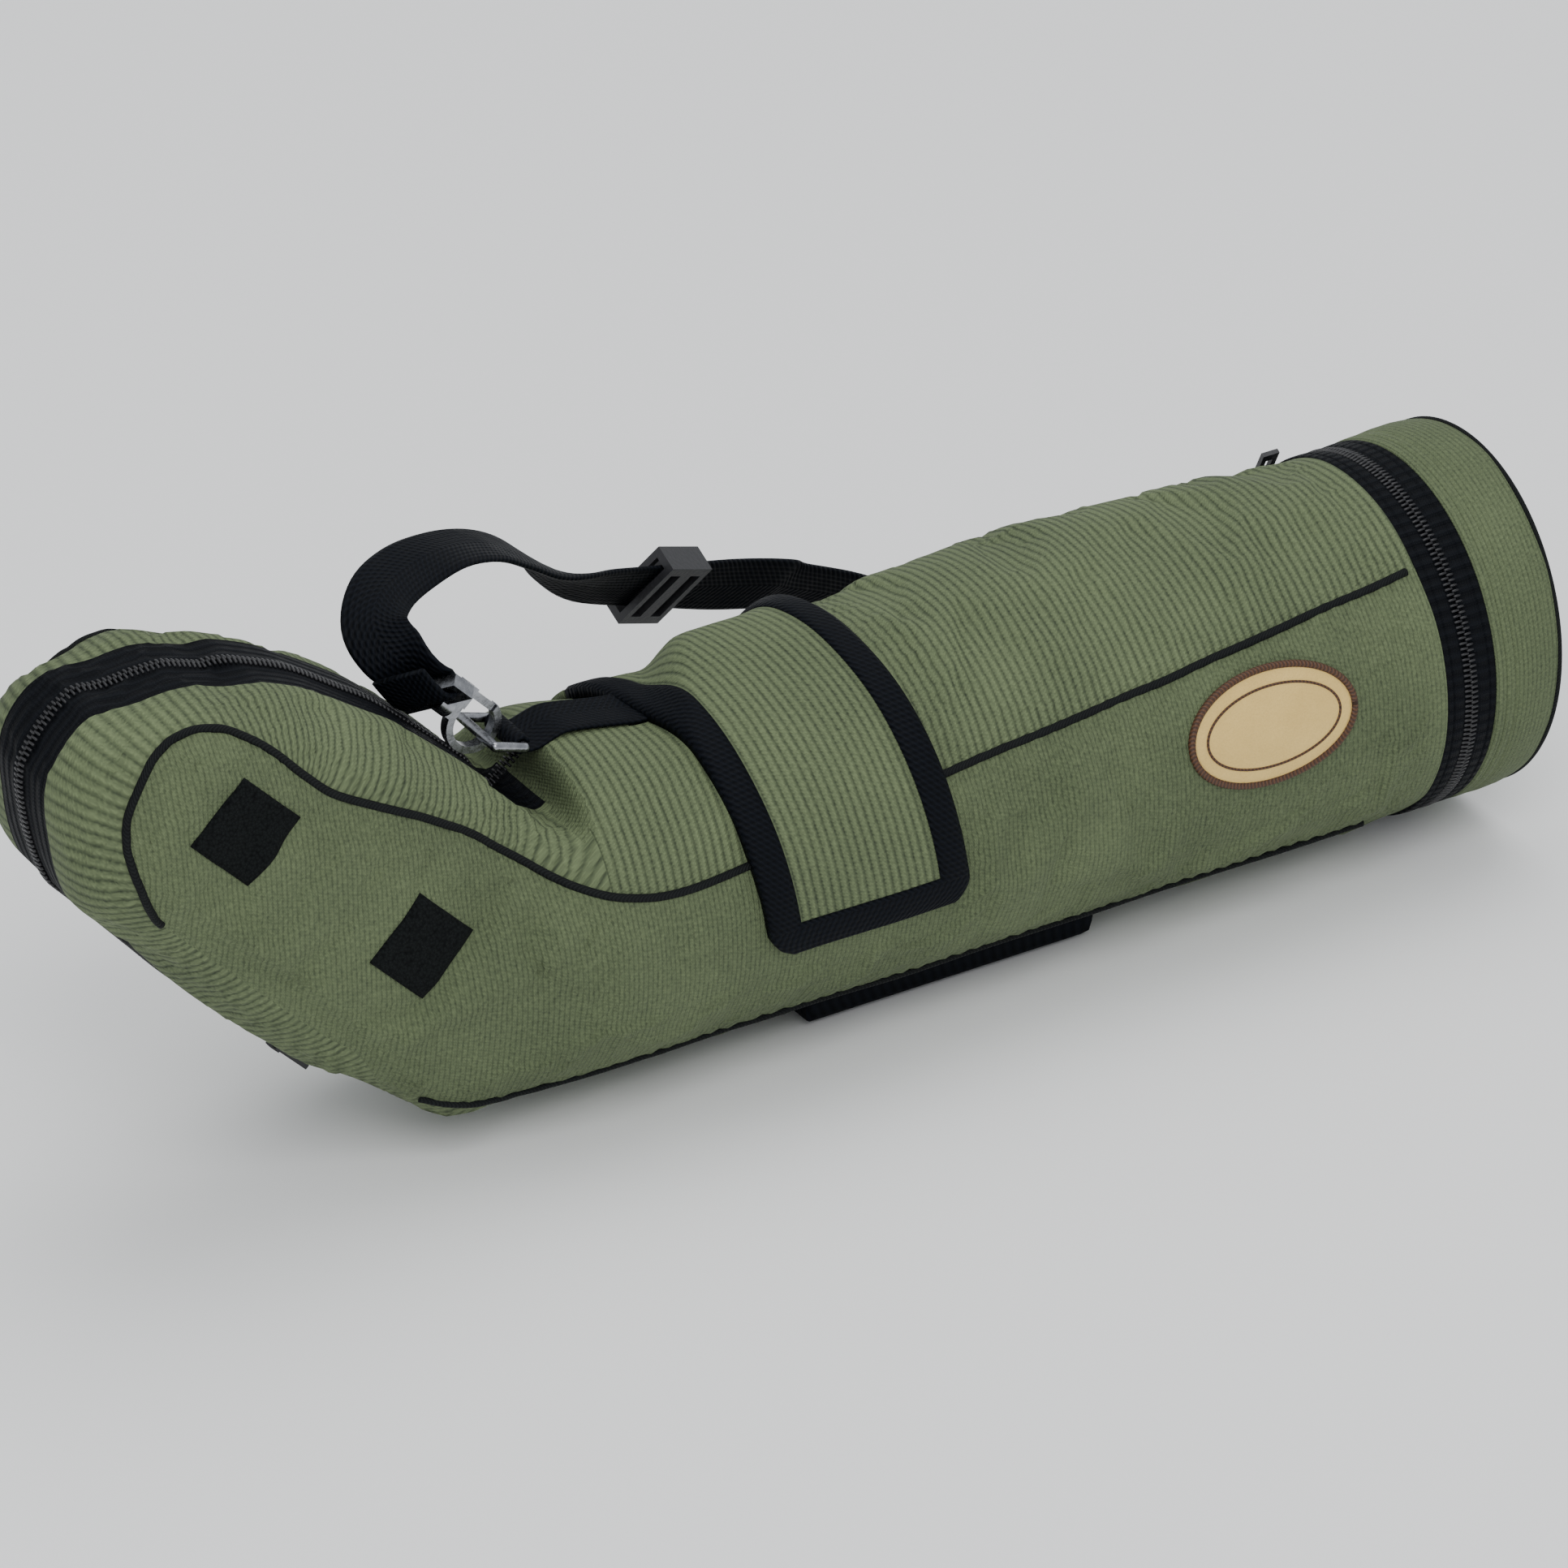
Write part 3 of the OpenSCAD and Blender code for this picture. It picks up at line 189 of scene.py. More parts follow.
# ---------- Shoulder strap ----------
# Black nylon webbing, 20 mm wide, from the rear hook up and over beside the scope, through a
# three-bar slider, down behind the tube and along the table to the front hook.
WEB_W, WEB_T = 0.020, 0.002
ROUTE = [
    ((-169.5, -1.2, 149.9), (-0.47, 0.77, -0.44)), ((-166.3, -2.3, 144.7), (-0.47, 0.77, -0.44)),
    ((-163.2, -2.7, 140.7), (-0.47, 0.77, -0.44)), ((-159.5, -1.4, 139), (-0.47, 0.77, -0.44)),
    ((-157.3, 1, 140.9), (-0.47, 0.77, -0.44)), ((-158.4, 2.6, 144.7), (-0.47, 0.77, -0.44)),
    ((-162.1, 2.5, 148.6), (-0.47, 0.77, -0.44)), ((-167.2, 9, 153.6), (-0.82, 0.09, -0.56)),
    ((-167.8, 16, 159.1), (-0.85, 0.49, -0.21)), ((-160.3, 25, 162.8), (-0.66, 0.69, 0.31)),
    ((-147.3, 34, 162.7), (-0.45, 0.82, 0.36)), ((-131, 42, 160.5), (-0.38, 0.9, 0.2)),
    ((-114.5, 50, 153.9), (-0.34, 0.92, 0.2)), ((-100.2, 57, 144.2), (-0.28, 0.93, 0.23)),
    ((-87.5, 63, 133.2), (-0.33, 0.94, 0.13)), ((-76.9, 68, 123.6), (-0.54, 0.81, -0.23)),
    ((-61.2, 75, 112.9), (-0.58, 0.54, -0.61)), ((-33.1, 87, 99), (-0.5, 0.42, -0.76)),
    ((-6.2, 95, 87.6), (-0.42, 0.26, -0.87)), ((13.7, 99, 80.1), (-0.46, 0.28, -0.85)),
    ((22, 103, 75), (-0.54, 0.35, -0.77)), ((44, 108, 63), (-0.56, 0.39, -0.73)),
    ((66, 113, 47), (-0.64, 0.34, -0.69)), ((86, 118, 29), (0.21, 0.74, -0.64)),
    ((104, 124, 13), (0, 0.97, -0.25)), ((122, 131, 3.5), (-0.3, 0.95, -0.05)),
    ((142, 141, 1.5), (-0.6, 0.8, 0)), ((156, 155, 1.4), (-0.98, 0.2, 0)),
    ((153, 170, 1.4), (-0.71, -0.71, 0)), ((133, 179, 1.4), (-0.1, -1, 0)),
    ((102, 181, 1.4), (0, -1, 0)), ((72, 179, 1.4), (0.07, -1, 0)),
    ((42, 175, 1.4), (0.15, -0.99, 0)), ((12, 169, 1.4), (0.25, -0.97, 0)),
    ((-14, 158, 1.4), (0.6, -0.8, 0)), ((-25, 141, 1.4), (1, 0.1, 0)),
    ((-12, 124, 1.4), (0.65, 0.76, 0)), ((16, 111, 1.4), (0.35, 0.94, 0)),
    ((48, 101, 1.4), (0.25, 0.97, 0)), ((80, 93, 1.4), (0.2, 0.98, 0)),
    ((102, 88, 1.4), (0.25, 0.97, 0)), ((120, 82, 2.4), (0.6, 0.8, 0)),
    ((129, 75, 9), (0.91, 0.41, 0)), ((131, 69, 19), (1, 0.1, 0)),
    ((130, 68, 32), (1, 0, 0))]


def through(points, steps):
    """A smooth line through the points, with that many steps from each to the next."""
    points = [Vector(p) for p in points]
    line = []
    for n in range(len(points) - 1):
        a, b, c, d = (points[min(max(n + k, 0), len(points) - 1)] for k in (-1, 0, 1, 2))
        for k in range(steps):
            t = k / steps
            line.append(0.5 * (2 * b + (c - a) * t + (2 * a - 5 * b + 4 * c - d) * t ** 2
                               + (3 * b - a - 3 * c + d) * t ** 3))
    return line + [points[-1]]


def new_piece(name, points, faces, finish, places=None, normals=None):
    """A mesh object of these points and faces. places holds each point's place on its cloth."""
    mesh = bpy.data.meshes.new(name)
    mesh.from_pydata([tuple(p) for p in points], [], faces)
    mesh.update()
    if places is not None:
        cloth = mesh.attributes.new("cloth", "FLOAT_VECTOR", "POINT")
        cloth.data.foreach_set("vector", np.asarray(places, float).ravel())
    mesh.shade_smooth()
    if normals is not None:
        mesh.normals_split_custom_set_from_vertices([tuple(n) for n in normals])
    mesh.materials.append(finish)
    piece = bpy.data.objects.new(name, mesh)
    bpy.context.scene.collection.objects.link(piece)
    return piece


def swept(name, line, wides, outline, finish, closed=False):
    """An outline of (across, out) sizes carried along a line; wides gives the across direction."""
    count, sides = len(line), len(outline)
    points, places, run = [], [], 0.0
    for n, p in enumerate(line):
        before = line[n - 1] if n or closed else line[0]
        after = line[(n + 1) % count] if n + 1 < count or closed else line[-1]
        ahead = (after - before).normalized()
        wide = (wides[n] - ahead * ahead.dot(wides[n])).normalized()
        out = ahead.cross(wide)
        run += (p - line[n - 1]).length if n else 0
        for a, h in outline:
            points.append(p + a * wide + h * out)
            places.append((run, a, h))
    faces = []
    for n in range(count if closed else count - 1):
        m = (n + 1) % count
        for k in range(sides):
            j = (k + 1) % sides
            faces.append((n * sides + k, n * sides + j, m * sides + j, m * sides + k))
    if not closed:
        faces.append(tuple(reversed(range(sides))))
        faces.append(tuple(range((count - 1) * sides, count * sides)))
    return new_piece(name, points, faces, finish, places)


def flat_outline(width, thick, across=6):
    """The cross-section of a tape with soft edges."""
    half, tip = width / 2, thick / 2
    top = [(half - tip - 2 * (half - tip) * n / across, tip) for n in range(across + 1)]
    edge = [(-half, tip * 0.45), (-half, -tip * 0.45)]
    return top + edge + [(a, -h) for a, h in reversed(top)] + [(-a, -h) for a, h in edge]


webbing, shader, run, across, place = material("nylon_webbing", "cloth", Roughness=0.7,
                                               Specular_IOR_Level=0.08)
rows = (run * 1.0 + place.maths("ABSOLUTE", across) * 0.9).wave(0.0022)
cords = across.wave(0.0017)
worn = place.noise(160, 3)
wire_up(shader, colour=(rows * 0.5 + cords * 0.25 + worn * 0.4 - 0.1).mix(
    (0.0006, 0.0009, 0.0016, 1), (0.0050, 0.0066, 0.0105, 1)),
    roughness=worn * 0.25 + 0.5, height=rows * 0.6 + cords * 0.5 + worn * 0.3, depth=0.00045)

strap_line = through([Vector(p) / 1000 for p, w in ROUTE], 6)
strap_wide = through([w for p, w in ROUTE], 6)
strap = swept("shoulder_strap", strap_line, strap_wide, flat_outline(WEB_W, WEB_T), webbing)
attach(strap, "case")
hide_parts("strap")

# ---------- Cut and sewn outer skin ----------
# One padded skin of olive canvas: a straight tube, a bend and the hood over the eyepiece. It is
# shaped whole, then cut along its seams into the panels that are sewn together with piping.
zoom = next(j for j in frame["joints"] if j["name"] == "zoom_turn")
RISE = Vector(zoom["axis"]).normalized()
ACROSS = Vector((RISE.z, 0, -RISE.x))
patch_low, patch_high = (Vector(c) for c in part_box("fixed_patches"))
EYE = (patch_low + patch_high) / 2
NECK_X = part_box("foam_liner")[0][0] - 0.0004
TUBE_END = tube_low[0]
FOLD_U = 0.038
HOOD_H, HOOD_W, HOOD_CORNER, HOOD_TAPER = 0.048, 0.042, 0.022, 0.004
FLAT_U = -0.014
TAPE_HALF = 0.015
TAPE_START = -0.034
VOXEL = 0.003


def eye_point(u, v, y=0.0):
    """The point u along the eyepiece, v above it and y across."""
    return EYE + RISE * u + ACROSS * v + Vector((0, y, 0))


def ball(centre, radius, steps=14):
    return [centre + radius * Vector((math.sin(p) * math.cos(t), math.sin(p) * math.sin(t), math.cos(p)))
            for p in (math.pi * (i + 0.5) / steps for i in range(steps))
            for t in (2 * math.pi * k / (2 * steps) for k in range(2 * steps))]


def disc(x, radius, top=1.0, steps=96):
    """Points round the tube at x, no higher than top."""
    ring = [(radius * math.cos(2 * math.pi * k / steps), radius * math.sin(2 * math.pi * k / steps))
            for k in range(steps)]
    if top < radius:
        ring = [(y, z) for y, z in ring if z <= top]
        ring += [(s * math.sqrt(radius ** 2 - top ** 2), top) for s in (-1, 1)]
    return [Vector((x, y, AXIS_H + z)) for y, z in ring]


def hood_ring(u):
    """Points round the rounded section of the hood at u."""
    top = HOOD_H - HOOD_TAPER * (u - FLAT_U) / (FOLD_U - FLAT_U)
    half = HOOD_W - HOOD_CORNER
    return [eye_point(u, v + HOOD_CORNER * math.cos(t), s * half + HOOD_CORNER * math.sin(t))
            for v in (HOOD_CORNER - HOOD_H, top - HOOD_CORNER) for s in (-1, 1)
            for t in (2 * math.pi * k / 28 for k in range(28))]


notch_top = ((HOOD_H + 0.001 - (NECK_X - EYE.x) * ACROSS.x) / ACROSS.z) + EYE.z - AXIS_H
heel = [p for s in (-1, 1) for p in ball(Vector((-0.168, s * 0.022, AXIS_H - CASE_R + 0.030)), 0.022)]
hood_end = [p for u, v, y, r in ((62, 14, 18, 24), (92, 3, 20, 22), (104, -12, 14, 22), (88, -27, 22, 20))
            for s in (-1, 1) for p in ball(eye_point(u / 1000, v / 1000, s * y / 1000), r / 1000)]
FORMS = [disc(NECK_X, CASE_R) + disc(TUBE_END + 0.012, CASE_R),
         disc(NECK_X, CASE_R, notch_top) + disc(NECK_X + 0.004, CASE_R, notch_top)
         + hood_ring(FLAT_U) + heel,
         hood_ring(FLAT_U) + hood_ring(FOLD_U + 0.001),
         hood_ring(FOLD_U) + hood_end]


def stretched_over(forms):
    """One smooth closed skin over the forms."""
    shape = bmesh.new()
    for form in forms:
        fresh = [shape.verts.new(p) for p in form]
        hull = bmesh.ops.convex_hull(shape, input=fresh)
        spare = {e for e in hull["geom_interior"] + hull["geom_unused"] if isinstance(e, bmesh.types.BMVert)}
        bmesh.ops.delete(shape, geom=list(spare), context="VERTS")
    mesh = bpy.data.meshes.new("form")
    shape.to_mesh(mesh)
    shape.free()
    form = bpy.data.objects.new("form", mesh)
    bpy.context.scene.collection.objects.link(form)
    remesh = form.modifiers.new("voxels", "REMESH")
    remesh.mode = "VOXEL"
    remesh.voxel_size = VOXEL
    smooth = form.modifiers.new("soften", "SMOOTH")
    smooth.factor, smooth.iterations = 0.5, 7
    done = bpy.data.meshes.new_from_object(form.evaluated_get(bpy.context.evaluated_depsgraph_get()))
    bpy.data.objects.remove(form)
    return done


# The side seams, seen from the side: first x and height above the tube's centre line, then
# places on the eyepiece part, then along the bottom.
def seam_xz(u, v):
    p = eye_point(u / 1000, v / 1000)
    return p.x, p.z - AXIS_H


SEAM_LOW = -0.044
side_seam = through([Vector((x, z, 0)) for x, z in
                     [(0.175, 0.0435), (0.120, 0.0392), (0.060, 0.0345), (0.000, 0.0300), (-0.050, 0.0250),
                      (-0.090, 0.0205), (-0.110, 0.0198), (-0.124, 0.0225), (-0.136, 0.0270)]
                     + [seam_xz(u, v) for u, v in
                        [(-21.5, 38.1), (-6.4, 36), (8.6, 34.4), (29.2, 29.7), (43.8, 25.3), (58.1, 21.3),
                         (69.6, 20.7), (82.2, 20.9), (91.6, 19.7), (100.5, 17), (107.1, 11.5), (110.7, 4.7),
                         (111.8, -2.4), (110.7, -9.9), (108.8, -16.8), (105, -23.1), (98.5, -29.2), (89.7, -34),
                         (82.7, -36.8), (73.7, -38.3), (40, -38.5), (5, -38.5), (-12, -37.5)]]
                     + [(-0.196, -0.030), (-0.184, -0.0365), (-0.166, -0.0415), (-0.145, SEAM_LOW),
                        (-0.110, SEAM_LOW), (-0.060, SEAM_LOW), (0.000, SEAM_LOW), (0.080, SEAM_LOW),
                        (0.175, SEAM_LOW)]], 8)
seam_points = np.array([(p.x, p.y) for p in side_seam])


def inside_seam(points):
    """Signed distance of points inside the side seams, seen from the side."""
    x, z = points[:, 0], points[:, 2] - AXIS_H
    near = np.full(len(points), 1.0)
    inside = np.zeros(len(points), bool)
    for (ax, az), (bx, bz) in zip(seam_points, np.roll(seam_points, -1, 0)):
        t = np.clip(((x - ax) * (bx - ax) + (z - az) * (bz - az)) / ((bx - ax) ** 2 + (bz - az) ** 2), 0, 1)
        near = np.minimum(near, np.hypot(x - ax - t * (bx - ax), z - az - t * (bz - az)))
        crosses = (az > z) != (bz > z)
        inside ^= crosses & (x < ax + (z - az) * (bx - ax) / (bz - az if bz != az else 1))
    return np.where(inside, near, -near)


def eye_places(points):
    """Each point's u and v."""
    from_eye = points - np.array(EYE)
    return from_eye @ np.array(RISE), from_eye @ np.array(ACROSS)


def soft(t):
    t = np.clip(t, 0, 1)
    return t * t * (3 - 2 * t)


def bump(x, middle, half):
    """1 at the middle, and 0 beyond half to either side of it."""
    return soft(1 - np.abs(x - middle) / half)


def slump(x, turn):
    """How far the soft tube has sunk behind the flap and on its far side. turn is in degrees
    round the tube from the near side."""
    deep = 0.0030 + 0.0050 * soft((x + 0.122) / 0.034) + 0.0050 * soft((x + 0.092) / 0.030)
    deep = deep * soft((-0.020 - x) / 0.030) * soft((x + 0.165) / 0.035)
    start = 52 + 46 * soft((x + 0.094) / 0.030)
    return deep * soft((turn - start) / 36) * soft((176 - turn) / 36)


def read_points(mesh):
    coords = np.empty(len(mesh.vertices) * 3)
    mesh.vertices.foreach_get("co", coords)
    return coords.reshape(-1, 3)


def swell(mesh, held, most):
    """Blows the cloth up a little between its seams. held is how firmly each point is sewn down."""
    rest = read_points(mesh)
    form = bpy.data.objects.new("swelling", mesh)
    bpy.context.scene.collection.objects.link(form)
    seams = form.vertex_groups.new(name="seams")
    for n, weight in enumerate(held):
        seams.add([n], float(weight), "REPLACE")
    cloth = form.modifiers.new("cloth", "CLOTH")
    cloth.settings.quality = 5
    cloth.settings.mass = 0.2
    cloth.settings.tension_stiffness = cloth.settings.compression_stiffness = 30
    cloth.settings.bending_stiffness = 2
    cloth.settings.use_pressure = True
    cloth.settings.uniform_pressure_force = 4
    cloth.settings.shrink_min = -0.035
    cloth.settings.vertex_group_mass = "seams"
    cloth.settings.effector_weights.gravity = 0
    scene = bpy.context.scene
    for frame_number in range(1, 15):
        scene.frame_set(frame_number)
    blown = form.evaluated_get(bpy.context.evaluated_depsgraph_get()).to_mesh()
    moved = read_points(blown) - rest
    form.to_mesh_clear()
    bpy.data.objects.remove(form)
    scene.frame_set(1)
    far = np.linalg.norm(moved, axis=1)[:, None]
    return moved * np.minimum(1, most / np.maximum(far, 1e-9))


skin = stretched_over(FORMS)
coords = read_points(skin)
outward = np.array([v.normal for v in skin.vertices])
point_u, point_v = eye_places(coords)
turn = np.degrees(np.arctan2(coords[:, 2] - AXIS_H, -coords[:, 1]))
seam_gap = np.abs(inside_seam(coords))
# The top stands fuller in front of the flap, the underside of the eyepiece part bellies a little,
# and the far side has sunk behind the flap.
push = 0.0022 * bump(coords[:, 0], 0.060, 0.075) * bump(turn, 122, 50)
push -= 0.0012 * bump(coords[:, 0], 0.152, 0.026) * bump(turn, 110, 60)
push += 0.0020 * bump(point_u, 0.030, 0.055) * (point_v < 0) * soft((-point_v - 0.030) / 0.016)
push += 0.0009 * soft(seam_gap / 0.014) - 0.0006
crease_x, crease_z = (coords[:, 0] + 0.109) / 0.0035, (coords[:, 2] - AXIS_H - 0.004) / 0.009
push -= 0.0016 * np.exp(-crease_x ** 2 - crease_z ** 2)
push += 0.0010 * np.array([noise.noise(Vector(p) * 17 + Vector((3, 1, 7))) for p in coords])
push += 0.00035 * np.array([noise.noise(Vector(p) * 48 + Vector((9, 4, 2))) for p in coords])
coords = coords + outward * push[:, None]
from_axis = coords * [0, 1, 1] - [0, 0, AXIS_H]
radius = np.linalg.norm(from_axis, axis=1)
sunk = slump(coords[:, 0], turn) * soft((radius - 0.028) / 0.024) / np.maximum(radius, 0.001)
coords = coords - from_axis * sunk[:, None]
skin.vertices.foreach_set("co", coords.ravel())
sewn = np.maximum(1 - soft(seam_gap / 0.010), soft(1.6 - np.abs(coords[:, 0] - TUBE_END) / 0.010))
under_flap = soft(4.4 - np.abs(coords[:, 0] + 0.072) / 0.016) * (turn > -20)
under_badge = soft(2 - np.hypot((coords[:, 0] - 0.099) / 0.030, (turn - 14.5) / 21))
round_foot = soft(2.2 - np.abs(coords[:, 0]) / 0.032) * (np.abs(turn + 90) < 40)
neck_edge = soft(1.5 - np.abs(coords[:, 0] - NECK_X) / 0.010) * (turn > 20)
sewn = np.maximum.reduce([sewn, under_flap, under_badge, round_foot, neck_edge])
swelling = swell(skin, 0.02 + 0.98 * sewn, 0.0026)
sinking = np.minimum(0, (swelling * outward).sum(1) + 0.0003)
coords = coords + swelling - outward * sinking[:, None]
skin.vertices.foreach_set("co", coords.ravel())


def cut_where(shape, field):
    """Cuts the faces along the line where field, a value for each point, changes sign."""
    shape.verts.ensure_lookup_table()
    value = field(np.array([v.co for v in shape.verts]))
    value[np.abs(value) < 1e-5] = 1e-5
    level_of = dict(zip(shape.verts, value))
    fresh = []
    for edge in list(shape.edges):
        a, b = edge.verts
        if level_of[a] * level_of[b] < 0:
            fresh.append(bmesh.utils.edge_split(edge, a, level_of[a] / (level_of[a] - level_of[b]))[1])
    bmesh.ops.connect_verts(shape, verts=fresh)


shape = bmesh.new()
shape.from_mesh(skin)
cut_where(shape, inside_seam)
cut_where(shape, lambda p: np.abs(p[:, 1]) - TAPE_HALF)
cut_where(shape, lambda p: p[:, 1])
cut_where(shape, lambda p: eye_places(p)[0] - FOLD_U)
cut_where(shape, lambda p: eye_places(p)[0] - TAPE_START)
cut_where(shape, lambda p: p[:, 0] - TUBE_END)
cut_where(shape, lambda p: p[:, 0] - NECK_X)
window_low, window_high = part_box("focus_knob")
WINDOW = [(window_low[0] - 0.004, window_high[0] + 0.004, 0.023), (-0.043, 0.043, 0.022)]
for x0, x1, half in WINDOW:
    cut_where(shape, lambda p: np.maximum(np.maximum(x0 - p[:, 0], p[:, 0] - x1), np.abs(p[:, 1]) - half))
shape.normal_update()
shape.verts.ensure_lookup_table()
shape.faces.ensure_lookup_table()
skin_points = np.array([v.co for v in shape.verts])
skin_normals = np.array([v.normal for v in shape.verts])
skin_faces = [[v.index for v in f.verts] for f in shape.faces]
centres = np.array([f.calc_center_median() for f in shape.faces])
facing = np.array([f.normal for f in shape.faces])
skin_tree = BVHTree.FromBMesh(shape)
shape.free()

face_u = eye_places(centres)[0]
in_side = inside_seam(centres) > 0
x, y, z = centres[:, 0], centres[:, 1], centres[:, 2] - AXIS_H
on_tube = (x > NECK_X) & (np.hypot(y, z) > CASE_R - 0.006)
wall = (facing[:, 0] < -0.6) & (np.abs(x - NECK_X) < 0.012) & (z > 0.012)
knob_hole, foot_hole = [(x > x0) & (x < x1) & (np.abs(y) < half) for x0, x1, half in WINDOW]
gone = (x > TUBE_END) | (knob_hole & (z > 0)) | (foot_hole & (z < 0)) | ((x > NECK_X + 0.006) & ~on_tube)
tape = (np.abs(y) < TAPE_HALF) & (face_u > TAPE_START)
hood = face_u > FOLD_U
part = np.full(len(centres), "neck_gussets_", object)
part[on_tube & (z > 0)] = "top_panel_"
part[on_tube & (z < 0)] = "base_panel_"
part[~on_tube & hood] = "hood_gusset_"
part[~on_tube & tape & ~hood] = "zip_tape_"
part[~on_tube & tape & hood] = "hood_tape_"
part[wall] = "notch_wall_"
part[in_side & ~wall] = "side_panel_"
part[gone] = ""
sided = np.isin(part, ["hood_gusset_", "hood_tape_", "side_panel_"])
part[sided & (y < 0)] += "right"
part[sided & (y >= 0)] += "left"


STRAIGHT, STRIP_R = 0.062, 0.045


def strip_place(points):
    """How far along the strip over the hood each point is: down the top, round the end and back."""
    u, v = eye_places(points)
    turn = np.arctan2(u - STRAIGHT, v + 0.004)
    round_end = STRAIGHT + STRIP_R * turn
    back = 2 * STRAIGHT + STRIP_R * math.pi - u
    return np.where(u < STRAIGHT, np.where(v > 0, u, back), round_end)


def panel(name, kind, thick, finish):
    """The skin's faces of one kind, as a shell of padded cloth with a cut edge."""
    chosen = [skin_faces[n] for n in np.flatnonzero(part == kind)]
    used = sorted({k for f in chosen for k in f})
    number = {k: n for n, k in enumerate(used)}
    outer, normal = skin_points[used], skin_normals[used]
    top = [[number[k] for k in f] for f in chosen]
    count = len(used)
    edges = {}
    for f in top:
        for a, b in zip(f, f[1:] + f[:1]):
            edges[(a, b)] = edges.get((a, b), 0) + 1
    rim = [(b, a, a + count, b + count) for a, b in edges if (b, a) not in edges]
    faces = top + [[k + count for k in reversed(f)] for f in top] + rim
    if "side" in kind:
        place = np.c_[outer[:, 0], outer[:, 2], outer[:, 1]]
    elif kind in ("top_panel_", "base_panel_"):
        turn = np.arctan2(outer[:, 2] - AXIS_H, outer[:, 1])
        place = np.c_[outer[:, 0], turn * CASE_R, outer[:, 1] * 0]
    elif "wall" in kind:
        place = np.c_[outer[:, 1], outer[:, 2], outer[:, 0]]
    else:
        place = np.c_[strip_place(outer), outer[:, 1], outer[:, 1] * 0]
    return new_piece(name, np.r_[outer, outer - normal * thick], faces, finish, np.r_[place, place],
                     np.r_[normal, -normal])


def canvas(name, pitch, rib, light, dark):
    """Olive canvas with ribs every pitch, as strong as rib."""
    made, shader, run, side, place = material(name, "cloth", Roughness=0.86, Specular_IOR_Level=0.3)
    drift = place.noise(60, 1) * 0.0006
    cord = place.maths("ABSOLUTE", place.maths("SINE", (run + drift) * (math.pi / pitch)))
    yarn = (side + run * 0.35).wave(0.0011) * (run * 1.0).wave(pitch / 2, 1.2)
    cloud = place.noise(22, 3)
    fleck = place.noise(900, 2)
    tone = cord * rib + yarn * 0.22 + (cloud - 0.5) * 0.5 + (fleck - 0.5) * 0.9 + (0.52 - rib * 0.6)
    wire_up(shader, colour=tone.maths("MINIMUM", tone.maths("MAXIMUM", tone, 0.0), 1.0).mix(dark, light),
            roughness=fleck * 0.2 + 0.74, height=cord * (0.9 * rib) + yarn * 0.3 + fleck * 0.5, depth=0.0007)
    return made


OLIVE_LIGHT, OLIVE_DARK = (0.143, 0.180, 0.090, 1), (0.023, 0.033, 0.017, 1)
ribbed = canvas("ribbed_canvas", 0.0029, 0.55, OLIVE_LIGHT, OLIVE_DARK)
plain = canvas("plain_canvas", 0.0016, 0.22, OLIVE_LIGHT, OLIVE_DARK)

CLOTH, PAD = 0.002, 0.004
for side, sign in (("right", -1), ("left", 1)):
    side_piece = panel(f"{side}_side_cloth", f"side_panel_{side}", 0.0022, plain)
    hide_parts(f"{side}_side_panel", f"{side}_cover")
    eye_point(0.032, 0)
    eye_point(0.044, 0)
    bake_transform(side_piece)
    gusset = panel(f"{side}_hood_gusset", f"hood_gusset_{side}", PAD, ribbed)
    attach(gusset, f"{side}_cover")
top_cloth = panel("top_cloth", "top_panel_", CLOTH, ribbed)
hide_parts("top_panel")
base_cloth = panel("base_cloth", "base_panel_", CLOTH, plain)
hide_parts("base_panel")
wall_cloth = panel("notch_wall_cloth", "notch_wall_", CLOTH, plain)
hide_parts("notch_wall")
gusset_cloth = panel("neck_gusset_cloth", "neck_gussets_", PAD, ribbed)
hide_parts("neck_gussets")
for piece in (top_cloth, base_cloth, wall_cloth, gusset_cloth):
    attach(piece, "case")

# ---------- Piping ----------
# Black cord in a bias strip, caught in the side seams of both panels: over the top and round the eyepiece end, and
# along the bottom from the heel to the front. The seam under the eyepiece part has none.
PIPE_R = 0.0013
piping, shader, run, across, place = material("piping_cord", "cloth", Roughness=0.7,
                                              Specular_IOR_Level=0.12)
twill = (run + across * 1.4).wave(0.0012)
cord_tone = twill * 0.6 + place.noise(300) * 0.4
wire_up(shader, colour=cord_tone.mix((0.002, 0.0024, 0.003, 1), (0.012, 0.014, 0.014, 1)),
        height=twill, depth=0.0002)


def round_outline(radius, sides=10):
    return [(radius * math.cos(2 * math.pi * k / sides), radius * math.sin(2 * math.pi * k / sides))
            for k in range(sides)]


def on_side(x, z, sign):
    """The skin's point straight out from (x, z) to one side."""
    hit = skin_tree.ray_cast(Vector((x, sign * 0.2, AXIS_H + z)), Vector((0, -sign, 0)))
    return hit[0]


LAST_CORNER = max(n for n, p in enumerate(side_seam) if p.x < seam_xz(75, -38.3)[0] + 0.002 and p.y > 0.04)
HEEL = min(n for n, p in enumerate(side_seam) if n > LAST_CORNER and p.x > -0.186 and p.y < -0.03)
for side, sign in (("right", -1), ("left", 1)):
    for run_name, stretch in (("side", side_seam[:LAST_CORNER]), ("low", side_seam[HEEL:])):
        hits = [on_side(p.x, p.y, sign) for p in stretch if p.x < TUBE_END]
        line = through([h for h in hits if h is not None][::2], 4)
        pipe = swept(f"{side}_{run_name}_piping", line, [Vector((0, 1, 0.3))] * len(line),
                     round_outline(PIPE_R), piping)
        if run_name == "side":
            eye_point(0.032, 0)
            eye_point(0.044, 0)
            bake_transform(pipe)
        else:
            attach(pipe, "case")
        if pipe.name == "right_low_piping":
            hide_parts("seam_piping")

